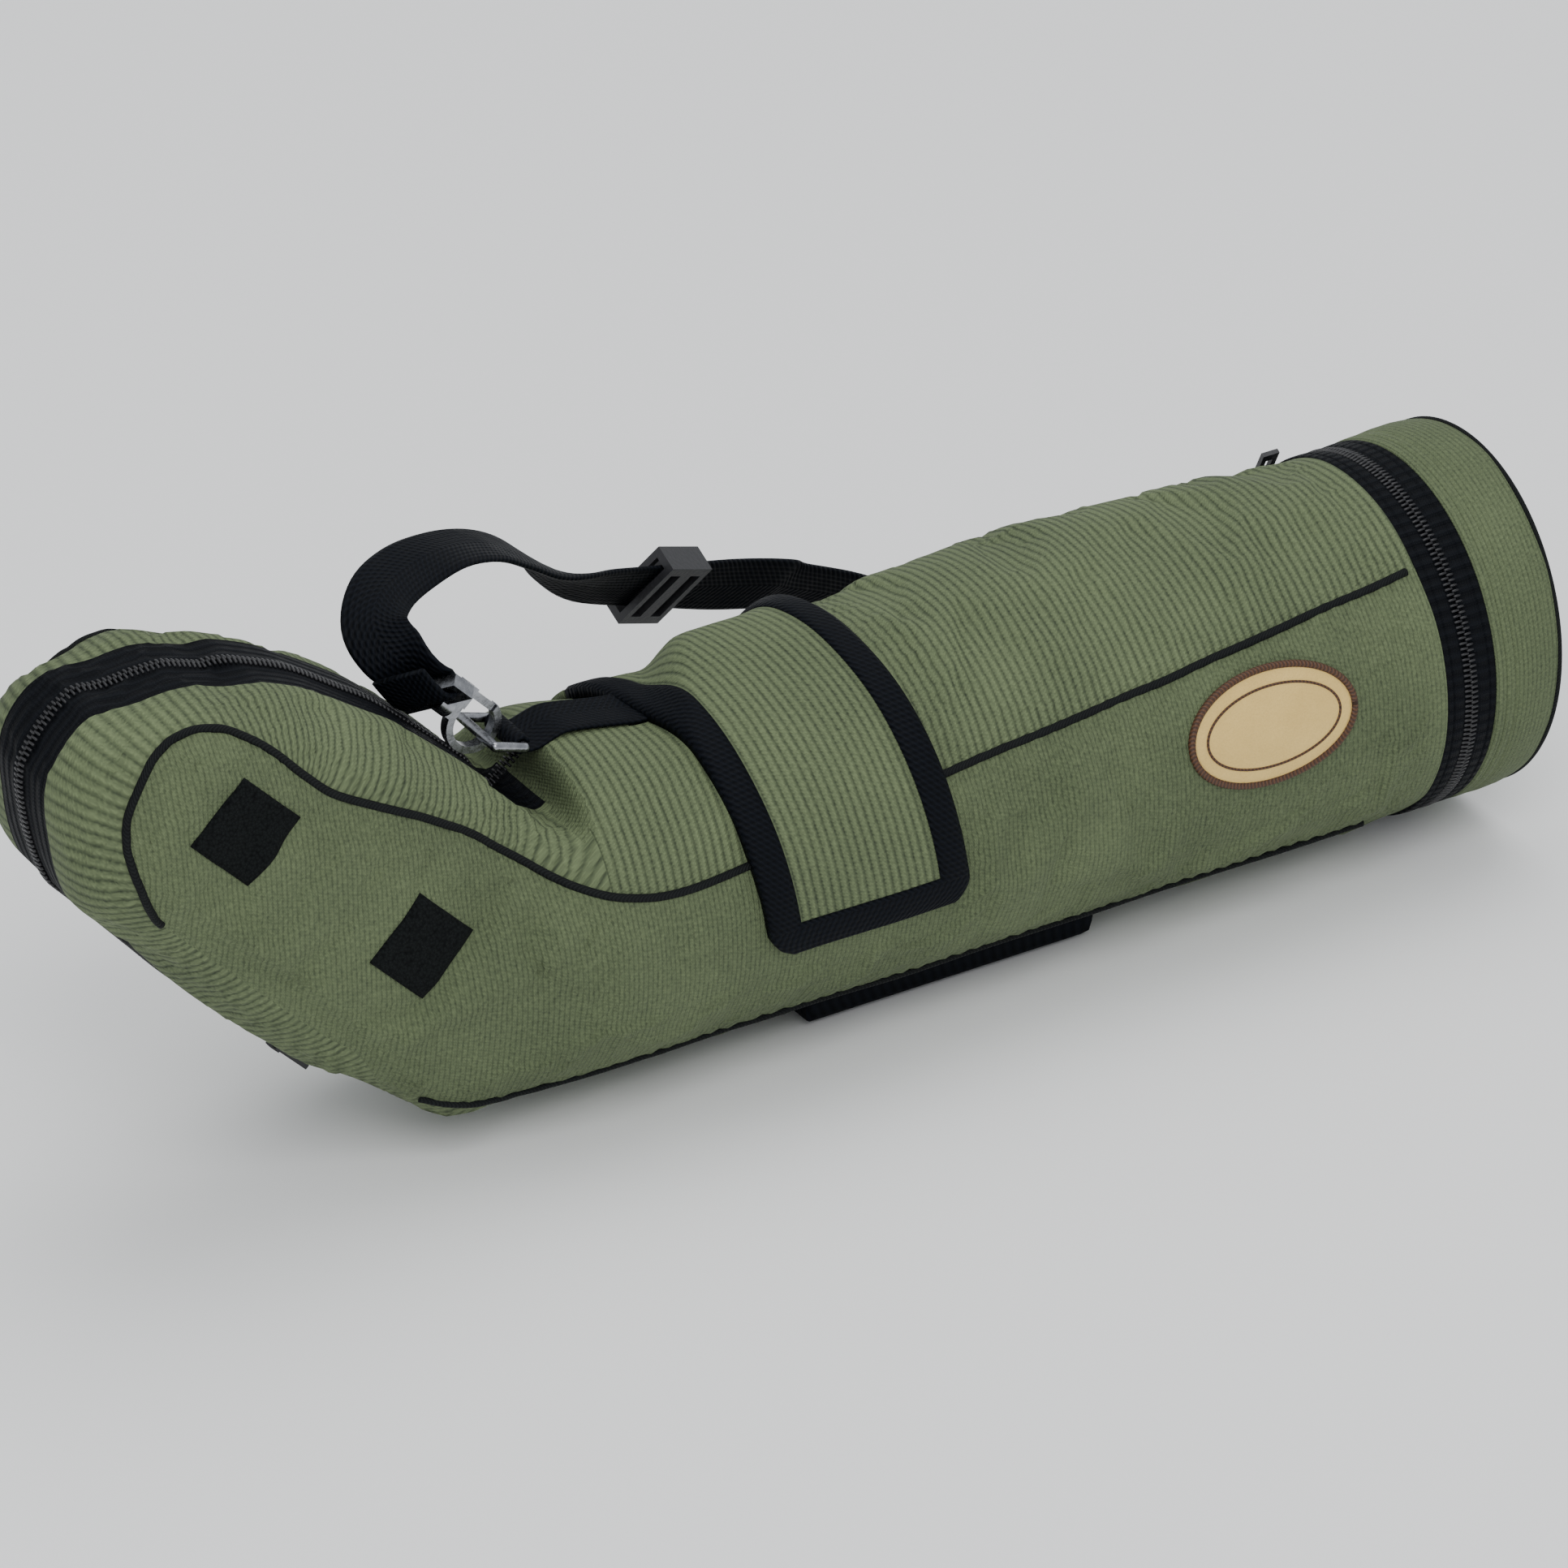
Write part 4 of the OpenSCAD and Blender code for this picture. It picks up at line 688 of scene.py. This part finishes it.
# ---------- Zip over the eyepiece ----------
# Black woven tapes on each side of a moulded coil, sewn to the strips of canvas. The hood's halves
# carry one tape each, so the coil's two rows part when the zip is run down.
tape_black, shader, run, across, place = material("zip_tape", "cloth", Roughness=0.72,
                                                  Specular_IOR_Level=0.08)
lines = place.maths("ABSOLUTE", across).wave(0.0038, 0.4)
weave = (run * 1.0).wave(0.0009) * across.wave(0.0009)
dust = place.noise(240, 3)
tape_tone = lines * 0.45 + weave * 0.3 + dust * 0.3
wire_up(shader, colour=tape_tone.mix((0.0008, 0.0011, 0.002, 1), (0.0062, 0.0076, 0.0105, 1)),
        roughness=dust * 0.3 + 0.5, height=lines * 1.2 + weave * 0.3, depth=0.0007)
coil_black, shader, run, across, place = material("zip_coil", Roughness=0.32)
wire_up(shader, colour=place.noise(400).mix((0.002, 0.002, 0.003, 1), (0.012, 0.012, 0.015, 1)),
        roughness=place.noise(200) * 0.3 + 0.3)

for side in ("right", "left"):
    hood_tape = panel(f"{side}_hood_tape", f"hood_tape_{side}", PAD, tape_black)
    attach(hood_tape, f"{side}_cover")
    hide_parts(f"{side}_cover_tape")
fixed_tape = panel("rear_zip_tape", "zip_tape_", PAD, tape_black)
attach(fixed_tape, "case")
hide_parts("rear_zip_fixed_tape")


def coil(name, stations, sign):
    """One row of coil teeth. Each station is a point, the way out of the tape and the way across."""
    points, faces = [], []
    for n, (p, out, across) in enumerate(stations):
        ahead = out.cross(across).normalized()
        shift = 0.0004 * sign
        for a, c, h in ((-.42, -.3, 0), (.42, -.3, 0), (.42, 2.6, 0), (-.42, 2.6, 0), (-.3, -.1, 1.1),
                        (.3, -.1, 1.1), (.3, 2.3, .8), (-.3, 2.3, .8)):
            points.append(p + ahead * (a / 1000 + shift) + across * (sign * c / 1000) + out * (h / 1000))
        k = 8 * n
        faces += [[k + i for i in f] for f in ((0, 3, 2, 1), (4, 5, 6, 7), (0, 1, 5, 4), (1, 2, 6, 5),
                                               (2, 3, 7, 6), (3, 0, 4, 7))]
    return new_piece(name, points, faces, coil_black)


COIL_PITCH = 0.0017


def even(line, pitch):
    """Points every pitch along a line."""
    run = np.concatenate([[0], np.cumsum([(b - a).length for a, b in zip(line, line[1:])])])
    at = np.arange(0, run[-1], pitch)
    return [Vector(p) for p in np.c_[tuple(np.interp(at, run, [p[k] for p in line]) for k in range(3))]]


HUB = eye_point(0.060, -0.002)
middle = []
for n in range(140):
    u = TAPE_START + (0.060 - TAPE_START) * n / 70
    if n < 70:
        start, way = eye_point(u, 0.0), ACROSS
    else:
        turn = math.pi * (n - 70) / 70
        start, way = HUB, ACROSS * math.cos(turn) + RISE * math.sin(turn)
    hit = skin_tree.ray_cast(start + way * 0.2, -way)
    middle.append(hit[0])
for n in range(70):
    hit = skin_tree.ray_cast(eye_point(0.060 - 0.090 * n / 70, -0.2), ACROSS)
    middle.append(hit[0])
middle = even([p for p in middle if p is not None], COIL_PITCH)
stations = []
for a, p, b in zip(middle, middle[1:], middle[2:]):
    ahead = (b - a).normalized()
    out = Vector((0, 1, 0)).cross(ahead)
    if out.dot(p - eye_point(min((p - EYE).dot(RISE), 0.06), 0)) < 0:
        out = -out
    stations.append((p, out.normalized(), Vector((0, 1, 0))))
on_hood = [(s[0] - EYE).dot(RISE) > FOLD_U for s in stations]
for side, sign in (("right", -1), ("left", 1)):
    row = coil(f"{side}_hood_coil", [s for s, h in zip(stations, on_hood) if h], sign)
    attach(row, f"{side}_cover")
    row = coil(f"{side}_neck_coil", [s for s, h in zip(stations, on_hood) if not h], sign)
    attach(row, "case")

# ---------- Front zip and lid ----------
# A round lid of padded canvas closes the front. It is joined to the tube by a zip that runs
# nearly all the way round, with a double row of stitching beside its tape.
lid_low, lid_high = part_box("front_lid")
LID_START, LID_END = lid_low[0], lid_high[0]
ZIP_MID = (TUBE_END + LID_START) / 2


def lathe(name, profile, finish, steps=192, wobble=0.0):
    """A shape turned round the tube's centre line. The profile is a closed line of (x, radius)."""
    points, places, run = [], [], [0.0]
    for (xa, ra), (xb, rb) in zip(profile, profile[1:]):
        run.append(run[-1] + math.hypot(xb - xa, rb - ra))
    for (px, pr), along in zip(profile, run):
        for k in range(steps):
            turn = 2 * math.pi * k / steps
            way = Vector((0, math.cos(turn), math.sin(turn)))
            r = pr + wobble * noise.noise(Vector((px, 0, 0)) * 30 + way * 3) if pr > 0.004 else pr
            points.append(Vector((px, 0, AXIS_H)) + way * r)
            places.append((along, turn * CASE_R, 0))
    faces = []
    for n in range(len(profile)):
        m = (n + 1) % len(profile)
        for k in range(steps):
            j = (k + 1) % steps
            faces.append((n * steps + k, n * steps + j, m * steps + j, m * steps + k))
    return new_piece(name, [slouched(p) for p in points], faces, finish, places)


def slouched(p):
    """The lid leans a little: its top stands further forward than its foot."""
    lean = max(0.0, p.x - ZIP_MID) / (LID_END - ZIP_MID)
    return p + Vector((0.0034 * lean * (p.z - AXIS_H) / CASE_R - 0.0006 * lean, 0, 0.0012 * lean))


def mm(profile):
    return [(x / 1000, r / 1000) for x, r in profile]


R = CASE_R * 1000
x0, x1, x2 = TUBE_END * 1000, LID_START * 1000, LID_END * 1000
xm = ZIP_MID * 1000
tape_front = lathe("front_tape", mm([(x0, R - 2), (x0, R - 0.2), (x0 + .5, R + .1), (x0 + 2.2, R + .2),
                                     (x0 + 2.6, R - .2), (x0 + 3, R + .2), (x0 + 6, R + .1),
                                     (x0 + 7, R - .5), (xm - .3, R - .7), (xm - .3, R - 2)]), tape_black)
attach(tape_front, "case")
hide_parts("front_zip_tape")
tape_lid = lathe("lid_tape", mm([(xm + .3, R - 4), (xm + .3, R - .7), (x1 - 7, R - .5), (x1 - 6, R + .1),
                                 (x1 - 3, R + .2), (x1 - 2.6, R - .2), (x1 - 2.2, R + .2), (x1 - .5, R + .1),
                                 (x1, R - .2), (x1, R - 4)]), tape_black)
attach(tape_lid, "front_lid")
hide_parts("lid_zip_tape")
lid_cloth = lathe("lid_cloth", mm([(x1, R - 4), (x1, R - .3), (x1 + .8, R + .3), (x1 + 3, R + .5),
                                   (x1 + 3.6, R + .1), (x1 + 4.2, R + .5), (x1 + 6.4, R + .5), (x1 + 7, R + .1),
                                   (x1 + 7.6, R + .5), (x1 + 12, R + .8), (x1 + 18, R + .7), (x2 - 4, R + .2),
                                   (x2 - 2, R - .6), (x2 - .6, R - 2.2), (x2 - .1, R - 5), (x2, R - 12),
                                   (x2 + .2, R - 24), (x2 + .3, 14), (x2 + .3, .01), (x2 - 4, .01), (x2 - 4, R - 8),
                                   (x2 - 6, R - 4.4), (x2 - 9, R - 4)]),
                  plain, wobble=0.0007)
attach(lid_cloth, "front_lid")
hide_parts("front_lid")


def ring_stations(x, radius):
    count = int(2 * math.pi * radius / COIL_PITCH)
    turns = [2 * math.pi * n / count for n in range(count)]
    return [(Vector((x, 0, AXIS_H)) + Vector((0, math.cos(t), math.sin(t))) * radius,
             Vector((0, math.cos(t), math.sin(t))), Vector((1, 0, 0))) for t in turns]


for name, sign, body in (("front_coil", -1, "case"), ("lid_coil", 1, "front_lid")):
    row = coil(name, ring_stations(ZIP_MID, CASE_R - 0.0008), sign)
    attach(row, body)
RIM_R = CASE_R - 0.0006
rim_line = [slouched(Vector((LID_END - 0.0022, RIM_R * math.cos(t), AXIS_H + RIM_R * math.sin(t))))
            for t in (2 * math.pi * n / 160 for n in range(160))]
rim = swept("lid_rim_piping", rim_line, [Vector((1, 0, 0))] * len(rim_line), round_outline(0.0009), piping,
            closed=True)
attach(rim, "front_lid")

# ---------- Wrap flap ----------
# A padded canvas flap bound in black tape. It is sewn into the far seam, lies over the focus knob
# and closes on a hook patch on the near side.
FLAP_LIFT = 0.0026
FLAP_R = 0.0592
BIND_W = 0.0105
FLAP_LOW, FLAP_FOLD = math.radians(-9), math.radians(125)
FLAP_CORNER = 0.009


def flap_point(s, turn, h, edge=0.0):
    """s from 0 at the rear edge to 1 at the front, turn round the tube from the near side."""
    lean = (math.pi / 2 - turn) / (math.pi / 2 - FLAP_LOW)
    rear, front = -0.0925 + 0.0135 * lean, -0.0245 + 0.0145 * lean
    to_end = min(FLAP_CORNER, (turn - FLAP_LOW) * FLAP_R)
    inset = FLAP_CORNER - math.sqrt(FLAP_CORNER ** 2 - (FLAP_CORNER - to_end) ** 2)
    x = rear + inset + (front - rear - 2 * inset) * s
    over = soft(max(0.0, math.sin(turn)) * 1.2) * soft(s / 0.42)
    sag = 0.0007 * noise.noise(Vector((x * 40, turn * 2.2, 0)))
    r = FLAP_R - 0.0004 + h + 0.0012 * over + sag - slump(x, math.degrees(turn))
    return Vector((x, -r * math.cos(turn), AXIS_H + FLAP_LIFT * float(over) + r * math.sin(turn)))


def flap_grid(name, s_line, turns, height, keep, finish, thick):
    """Cells of the flap that keep allows, as a shell of that thickness."""
    rows, cols = len(turns), len(s_line)
    points, places = [], []
    for layer in (0, 1):
        for t in turns:
            for s in s_line:
                points.append(flap_point(s, t, height(s, t) - layer * thick))
                places.append((s * 0.07, t * CASE_R, 0))
    solid = {(i, j) for i in range(rows - 1) for j in range(cols - 1) if keep(i, j)}
    faces = []
    deep = rows * cols
    for i, j in solid:
        a, b, c, d = i * cols + j, i * cols + j + 1, (i + 1) * cols + j + 1, (i + 1) * cols + j
        faces.append((a, b, c, d))
        faces.append((d + deep, c + deep, b + deep, a + deep))
        for cell, (p, q) in (((i - 1, j), (b, a)), ((i + 1, j), (d, c)), ((i, j - 1), (a, d)),
                             ((i, j + 1), (c, b))):
            if cell not in solid:
                faces.append((p, q, q + deep, p + deep))
    used = sorted({k for f in faces for k in f})
    number = {k: n for n, k in enumerate(used)}
    return new_piece(name, [points[k] for k in used], [[number[k] for k in f] for f in faces], finish,
                     [places[k] for k in used])


EDGE = BIND_W / 0.070
EDGE_TURN = BIND_W / FLAP_R
s_line = [EDGE * n / 6 for n in range(6)] + [EDGE + (1 - 2 * EDGE) * n / 16 for n in range(16)] + [
    1 - EDGE + EDGE * n / 6 for n in range(7)]
turns = [FLAP_LOW + EDGE_TURN * n / 12 for n in range(12)] + [
    FLAP_LOW + EDGE_TURN + (FLAP_FOLD - FLAP_LOW - EDGE_TURN) * n / 48 for n in range(49)]


def bind_height(s, t):
    """The binding stands proud of the cloth and is rounded over at its edges."""
    inset = min(s, 1 - s, (t - FLAP_LOW) / EDGE_TURN * EDGE) / EDGE
    crown = math.sqrt(max(0.0, 1 - (2 * min(inset, 1) - 1) ** 2))
    return 0.0029 + 0.0009 * crown - (0.0006 if inset < 0.05 else 0)


flap_cloth = flap_grid("flap_cloth", s_line, turns, lambda s, t: 0.0026,
                       lambda i, j: 5 <= j < 22 and i >= 11, ribbed, 0.0022)
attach(flap_cloth, "wrap_flap")
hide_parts("wrap_flap")
binding = flap_grid("flap_edge_binding", s_line, turns, bind_height,
                    lambda i, j: j < 6 or j >= 22 or i < 12, webbing, 0.0030)
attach(binding, "wrap_flap")
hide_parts("flap_binding")
anchor = flap_grid("flap_anchor_cloth", [n / 12 for n in range(13)],
                   [FLAP_FOLD + math.radians(0.5 + 34.5 * n / 14) for n in range(15)],
                   lambda s, t: 0.0026 - 0.0036 * soft((t - FLAP_FOLD) / 0.6), lambda i, j: True,
                   ribbed, 0.0022)
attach(anchor, "case")
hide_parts("flap_anchor")

# ---------- Fastener squares and patch ----------
# Black hook-and-loop: two sewn squares on each side, and a strip under the flap's free end.
fuzz, shader, run, across, place = material("hook_and_loop", Roughness=0.95, Specular_IOR_Level=0.1)
loops = place.node("ShaderNodeTexVoronoi", {"feature": "F1"}, Vector=place, Scale=1100.0)
wire_up(shader, colour=loops.mix((0.010, 0.012, 0.012, 1), (0.002, 0.0024, 0.0026, 1)),
        height=1 - loops, depth=0.0006)
PATCH_HALF = 0.0125
PATCH_TOP = 0.0012


def square_patch(name, u, v, sign):
    """A square with a sewn edge that lies on the side cloth."""
    steps = 14
    points = []
    for layer in (0, 1):
        for i in range(steps + 1):
            for j in range(steps + 1):
                a, b = 2 * i / steps - 1, 2 * j / steps - 1
                p = eye_point(u + a * PATCH_HALF, v + b * PATCH_HALF)
                ground = on_side(p.x, p.z - AXIS_H, sign)
                rise = PATCH_TOP * (1 - 0.55 * (max(abs(a), abs(b)) > 0.93)) if layer == 0 else -0.0002
                points.append(ground + Vector((0, sign * rise, 0)))
    n = steps + 1
    faces = []
    for i in range(steps):
        for j in range(steps):
            a, b, c, d = i * n + j, i * n + j + 1, (i + 1) * n + j + 1, (i + 1) * n + j
            faces.append((a, b, c, d) if sign < 0 else (d, c, b, a))
    ring = list(range(n)) + [i * n + steps for i in range(1, n)]
    ring += [steps * n + j for j in range(steps - 1, -1, -1)] + [i * n for i in range(steps - 1, 0, -1)]
    for a, b in zip(ring, ring[1:] + ring[:1]):
        faces.append((b, a, a + n * n, b + n * n) if sign < 0 else (a, b, b + n * n, a + n * n))
    return new_piece(name, points, faces, fuzz)


for side, sign in (("right", -1), ("left", 1)):
    fixed = square_patch(f"{side}_fixed_square", 0.0, 0.0, sign)
    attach(fixed, "case")
    if sign < 0:
        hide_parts("fixed_patches")
    moving = square_patch(f"{side}_hood_square", 0.0765, -0.002, sign)
    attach(moving, f"{side}_cover")
    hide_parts(f"{side}_cover_patch")
for holder in frame["nodes"]["flap_hook_patch"].material_slots:
    holder.material = fuzz

# ---------- Badge ----------
# A domed oval of cream leather with a stitched brown edge and a brown line inside it.
cream, shader, run, across, place = material("cream_leather", Roughness=0.5, Specular_IOR_Level=0.35)
grain = place.node("ShaderNodeTexVoronoi", {"feature": "F1"}, Vector=place, Scale=1500.0)
cream_tone = place.noise(90, 3) * 0.7 + grain * 0.3
wire_up(shader, colour=cream_tone.mix((0.60, 0.40, 0.125, 1), (0.80, 0.57, 0.195, 1)),
        roughness=place.noise(200) * 0.3 + 0.36, height=grain, depth=0.00015)
brown, shader, run, across, place = material("brown_stitching", "cloth", Roughness=0.6)
stitch = (run + across * 0.6).wave(0.0013)
wire_up(shader, colour=stitch.mix((0.035, 0.012, 0.004, 1), (0.10, 0.038, 0.012, 1)),
        height=stitch, depth=0.0003)
BADGE_X, BADGE_TURN = 0.099, math.radians(14.5)
BADGE_L, BADGE_H = 0.0300, 0.0185


def badge_point(a, b, h):
    """a along the tube and b round it, in metres from the badge's middle, h above the cloth."""
    turn = BADGE_TURN + b / CASE_R
    r = CASE_R + 0.0006 + h
    return Vector((BADGE_X + a, -r * math.cos(turn), AXIS_H + r * math.sin(turn)))


def oval(size, h, steps=96):
    return [badge_point((BADGE_L + size) * math.cos(t), (BADGE_H + size) * math.sin(t), h)
            for t in (2 * math.pi * n / steps for n in range(steps))]


rings = [oval(-0.001, -0.0012), oval(-0.001, 0.0008)] + [
    [badge_point(BADGE_L * k * math.cos(t), BADGE_H * k * math.sin(t), 0.0008 + 0.0006 * (1 - k * k))
     for t in (2 * math.pi * n / 96 for n in range(96))] for k in (0.9, 0.75, 0.6, 0.45, 0.3, 0.15)]
points = [p for ring in rings for p in ring] + [badge_point(0, 0, 0.0014)]
faces = [(n * 96 + k, n * 96 + (k + 1) % 96, (n + 1) * 96 + (k + 1) % 96, (n + 1) * 96 + k)
         for n in range(len(rings) - 1) for k in range(96)]
last = (len(rings) - 1) * 96
faces += [(last + k, last + (k + 1) % 96, last + 96) for k in range(96)]
badge = new_piece("badge_leather", points, faces, cream)
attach(badge, "case")
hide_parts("badge")
outs = [Vector((0, -math.cos(BADGE_TURN), math.sin(BADGE_TURN)))] * 96
edge = swept("badge_edge_cord", oval(-0.0008, 0.0006), outs, round_outline(0.0012, 8), brown, closed=True)
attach(edge, "case")
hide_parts("badge_rim")
inner = swept("badge_inner_line", oval(-0.0062, 0.00105), outs, round_outline(0.00045, 6), brown,
              closed=True)
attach(inner, "case")

# ---------- Webbing under the rings ----------
# Loops of the strap's webbing hold the two rings: one along the top of the neck, and one sewn
# flat on the far side near the front.
LOOP_W = 0.018
rear_bar = Vector(next(j for j in frame["joints"] if j["name"] == "rear_ring_swing")["pos_m"])
front_bar = Vector(next(j for j in frame["joints"] if j["name"] == "front_ring_swing")["pos_m"])
LOOP_R = 0.0024


def on_top(p):
    """The place of webbing that lies on the skin above p, and the way up from the skin there."""
    place, up, _, _ = skin_tree.ray_cast(Vector((p.x, p.y, 1)), Vector((0, 0, -1)))
    return place + up * 0.0012, up


def on_far_side(p):
    """The same on the tube's far side, at the height of p."""
    r = CASE_R + 0.0012
    place = Vector((p.x, math.sqrt(r * r - (p.z - AXIS_H) ** 2), p.z))
    return place, Vector((0, place.y, place.z - AXIS_H)).normalized()


def looped(name, bar, towards, out, length, ground):
    """Webbing sewn flat, that turns round a bar and comes back. towards is the way it lies."""
    line, wides = [], []
    for n in range(7):
        place, up = ground(bar + towards * (0.007 + (length - 0.007) * (1 - n / 6)))
        line.append(place)
        wides.append(towards.cross(up).normalized())
    for n in range(13):
        t = math.radians(-100 - 250 * n / 12)
        line.append(bar + towards * (LOOP_R * math.cos(t)) + out * (LOOP_R * math.sin(t)))
        wides.append(towards.cross(out))
    piece = swept(name, through(line, 3), [w.normalized() for w in through(wides, 3)],
                  flat_outline(LOOP_W, 0.0015), webbing)
    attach(piece, "case")
    return piece


neck_loop = looped("neck_loop", rear_bar, Vector((1, 0, 0)), Vector((0, 0, 1)), 0.048, on_top)
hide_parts("neck_webbing")
tab_loop = looped("front_tab_loop", front_bar, Vector((0, 0, 1)), Vector((0, 1, 0)), 0.016, on_far_side)
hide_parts("front_ring_tab")

# ---------- Metal and moulded hardware ----------
# Nickel-plated rings and snap hooks, and moulded black zip sliders and strap slider.
nickel, shader, run, across, place = material("nickel_plate", Metallic=1.0)
scuff = place.noise(500, 4)
wire_up(shader, colour=scuff.mix((0.14, 0.145, 0.16, 1), (0.50, 0.51, 0.54, 1)),
        roughness=scuff * 0.35 + 0.10, height=scuff, depth=0.00008)
moulded, shader, run, across, place = material("moulded_black", Roughness=0.4)
pits = place.noise(900, 2)
wire_up(shader, colour=pits.mix((0.010, 0.010, 0.012, 1), (0.022, 0.022, 0.026, 1)),
        roughness=pits * 0.3 + 0.28, height=pits, depth=0.0001)

# ---------- Foot and its surround ----------
# The scope's own foot is machined aluminium, anodised black. The case has a bound opening round it.
anodised, shader, run, across, place = material("black_anodising", Metallic=0.7)
cut = (run * 1.0).wave(0.0006) * 0.3 + place.noise(700, 3) * 0.7
wire_up(shader, colour=cut.mix((0.012, 0.012, 0.014, 1), (0.05, 0.05, 0.055, 1)), roughness=cut * 0.3 + 0.28,
        height=cut, depth=0.00006)
foot_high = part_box("tripod_foot")[1]
frame_low, frame_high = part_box("foot_surround")
FOOT_MARGIN = 0.0034


def surround_line(t, out):
    """The point at t, 0 to 4, of the rectangle between the opening, out 0, and the outer edge, 1."""
    a = (foot_high[0] + FOOT_MARGIN) * (1 - out) + frame_high[0] * out
    back = (foot_high[0] + FOOT_MARGIN) * (1 - out) + (frame_high[0] - 0.0065) * out
    b = (foot_high[1] + FOOT_MARGIN) * (1 - out) + frame_high[1] * out
    corners = [(-back, -b), (a, -b), (a, b), (-back, b)]
    n = int(t) % 4
    (ax, ay), (bx, by) = corners[n], corners[(n + 1) % 4]
    return ax + (bx - ax) * (t - int(t)), ay + (by - ay) * (t - int(t))


section = [(0, 0.02), (0, 1), (1.1, 1), (1.05, 0.5), (0.95, 0.1), (0.7, 0), (0.3, 0)]
points, faces, places = [], [], []
COUNT = 96
for n in range(COUNT):
    for out, up in section:
        px, py = surround_line(4 * n / COUNT, out)
        under = AXIS_H - math.sqrt(max(CASE_R ** 2 - py ** 2, 0)) + 0.0006
        points.append((px, py, frame_low[2] + (under - frame_low[2]) * up))
        places.append((n * 0.0026, out * 0.01, 0))
K = len(section)
for n in range(COUNT):
    m = (n + 1) % COUNT
    for k in range(K):
        j = (k + 1) % K
        faces.append((n * K + j, n * K + k, m * K + k, m * K + j))
surround = new_piece("foot_opening_binding", points, faces, webbing, places)
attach(surround, "case")
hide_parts("foot_surround")

# ---------- Foam liner ----------
# Closed-cell foam between the canvas and the scope, open over the foot and the focus knob.
foam, shader, run, across, place = material("grey_foam", Roughness=0.95)
cells = place.node("ShaderNodeTexVoronoi", {"feature": "F1"}, Vector=place, Scale=900.0)
wire_up(shader, colour=cells.mix((0.11, 0.115, 0.12, 1), (0.045, 0.048, 0.05, 1)),
        height=cells, depth=0.0004)
foam_low, foam_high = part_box("foam_liner")
FOAM_OUT = CASE_R - 0.0036
FOAM_IN = CASE_R - 0.0089
xs = [foam_low[0] + 0.002 + (foam_high[0] - foam_low[0] - 0.002) * n / 60 for n in range(61)]
STEPS = 120
points, faces = [], []
for layer, radius in ((0, FOAM_OUT), (1, FOAM_IN)):
    for px in xs:
        for k in range(STEPS):
            t = 2 * math.pi * k / STEPS
            dent = noise.noise(Vector((px * 60, 3 * math.cos(t), 3 * math.sin(t))))
            r = radius - layer * 0.0003 * (1 + dent)
            r -= float(slump(px, math.degrees(math.atan2(math.sin(t), -math.cos(t)))))
            r -= 0.0035 * float(1 - soft((px - xs[0]) / 0.012))
            points.append((px, r * math.cos(t), AXIS_H + r * math.sin(t)))
solid = set()
for i in range(60):
    for k in range(STEPS):
        t = 2 * math.pi * (k + 0.5) / STEPS
        mid, cy, cz = (xs[i] + xs[i + 1]) / 2, FOAM_OUT * math.cos(t), math.sin(t)
        over = any(x0 < mid < x1 and abs(cy) < half and (cz > 0) == top
                   for (x0, x1, half), top in zip(WINDOW, (True, False)))
        if not over:
            solid.add((i, k))
deep = 61 * STEPS
for i, k in solid:
    j = (k + 1) % STEPS
    a, b, c, d = i * STEPS + k, i * STEPS + j, (i + 1) * STEPS + j, (i + 1) * STEPS + k
    faces += [(a, b, c, d), (d + deep, c + deep, b + deep, a + deep)]
    for cell, (p, q) in (((i - 1, k), (b, a)), ((i + 1, k), (d, c)), ((i, (k - 1) % STEPS), (a, d)),
                         ((i, j), (c, b))):
        if cell not in solid:
            faces.append((p, q, q + deep, p + deep))
liner = new_piece("foam_sleeve", points, faces, foam)
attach(liner, "case")
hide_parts("foam_liner")

# ---------- The scope inside ----------
# An armoured aluminium body with a coated doublet in front, a knob-driven focusing lens, a prism
# and a zoom eyepiece with a twist-up rubber cup.
armour, shader, run, across, place = material("grained_armour", Roughness=0.6)
grain = place.node("ShaderNodeTexVoronoi", {"feature": "F1"}, Vector=place, Scale=650.0)
armour_tone = grain * 0.6 + place.noise(40) * 0.4
wire_up(shader, colour=armour_tone.mix((0.075, 0.085, 0.058, 1), (0.13, 0.145, 0.10, 1)),
        roughness=grain * 0.3 + 0.42, height=grain, depth=0.0003)
rubber, shader, run, across, place = material("ribbed_rubber", Roughness=0.75)
skin_noise = place.noise(600, 3)
wire_up(shader, colour=skin_noise.mix((0.008, 0.008, 0.009, 1), (0.022, 0.022, 0.023, 1)),
        roughness=skin_noise * 0.3 + 0.55, height=skin_noise, depth=0.00015)
turned_steel, shader, run, across, place = material("turned_steel", Metallic=1.0)
turning = (run * 1.0).wave(0.0005) * 0.4 + place.noise(500, 3) * 0.6
wire_up(shader, colour=turning.mix((0.40, 0.40, 0.41, 1), (0.62, 0.62, 0.63, 1)),
        roughness=turning * 0.3 + 0.2, height=turning, depth=0.00005)
coated, shader, run, across, place = material("coated_glass", Transmission_Weight=1.0, IOR=1.52, Coat_Weight=0.4,
                                              Specular_Tint=(0.65, 1, 0.75, 1))
smear = place.noise(60, 2)
wire_up(shader, colour=smear.mix((0.82, 0.95, 0.90, 1), (0.9, 0.98, 0.95, 1)), roughness=smear * 0.04 + 0.01)

FINISHES = {"plated_steel": nickel, "black_plastic": moulded, "black_aluminium": anodised, "armour": armour,
            "rubber": rubber, "steel": turned_steel, "glass": coated}
for part_row in frame["record"]["subparts"]:
    finish = FINISHES.get(part_row["material_slot"])
    if finish:
        for holder in frame["nodes"][part_row["node"]].material_slots:
            holder.material = finish
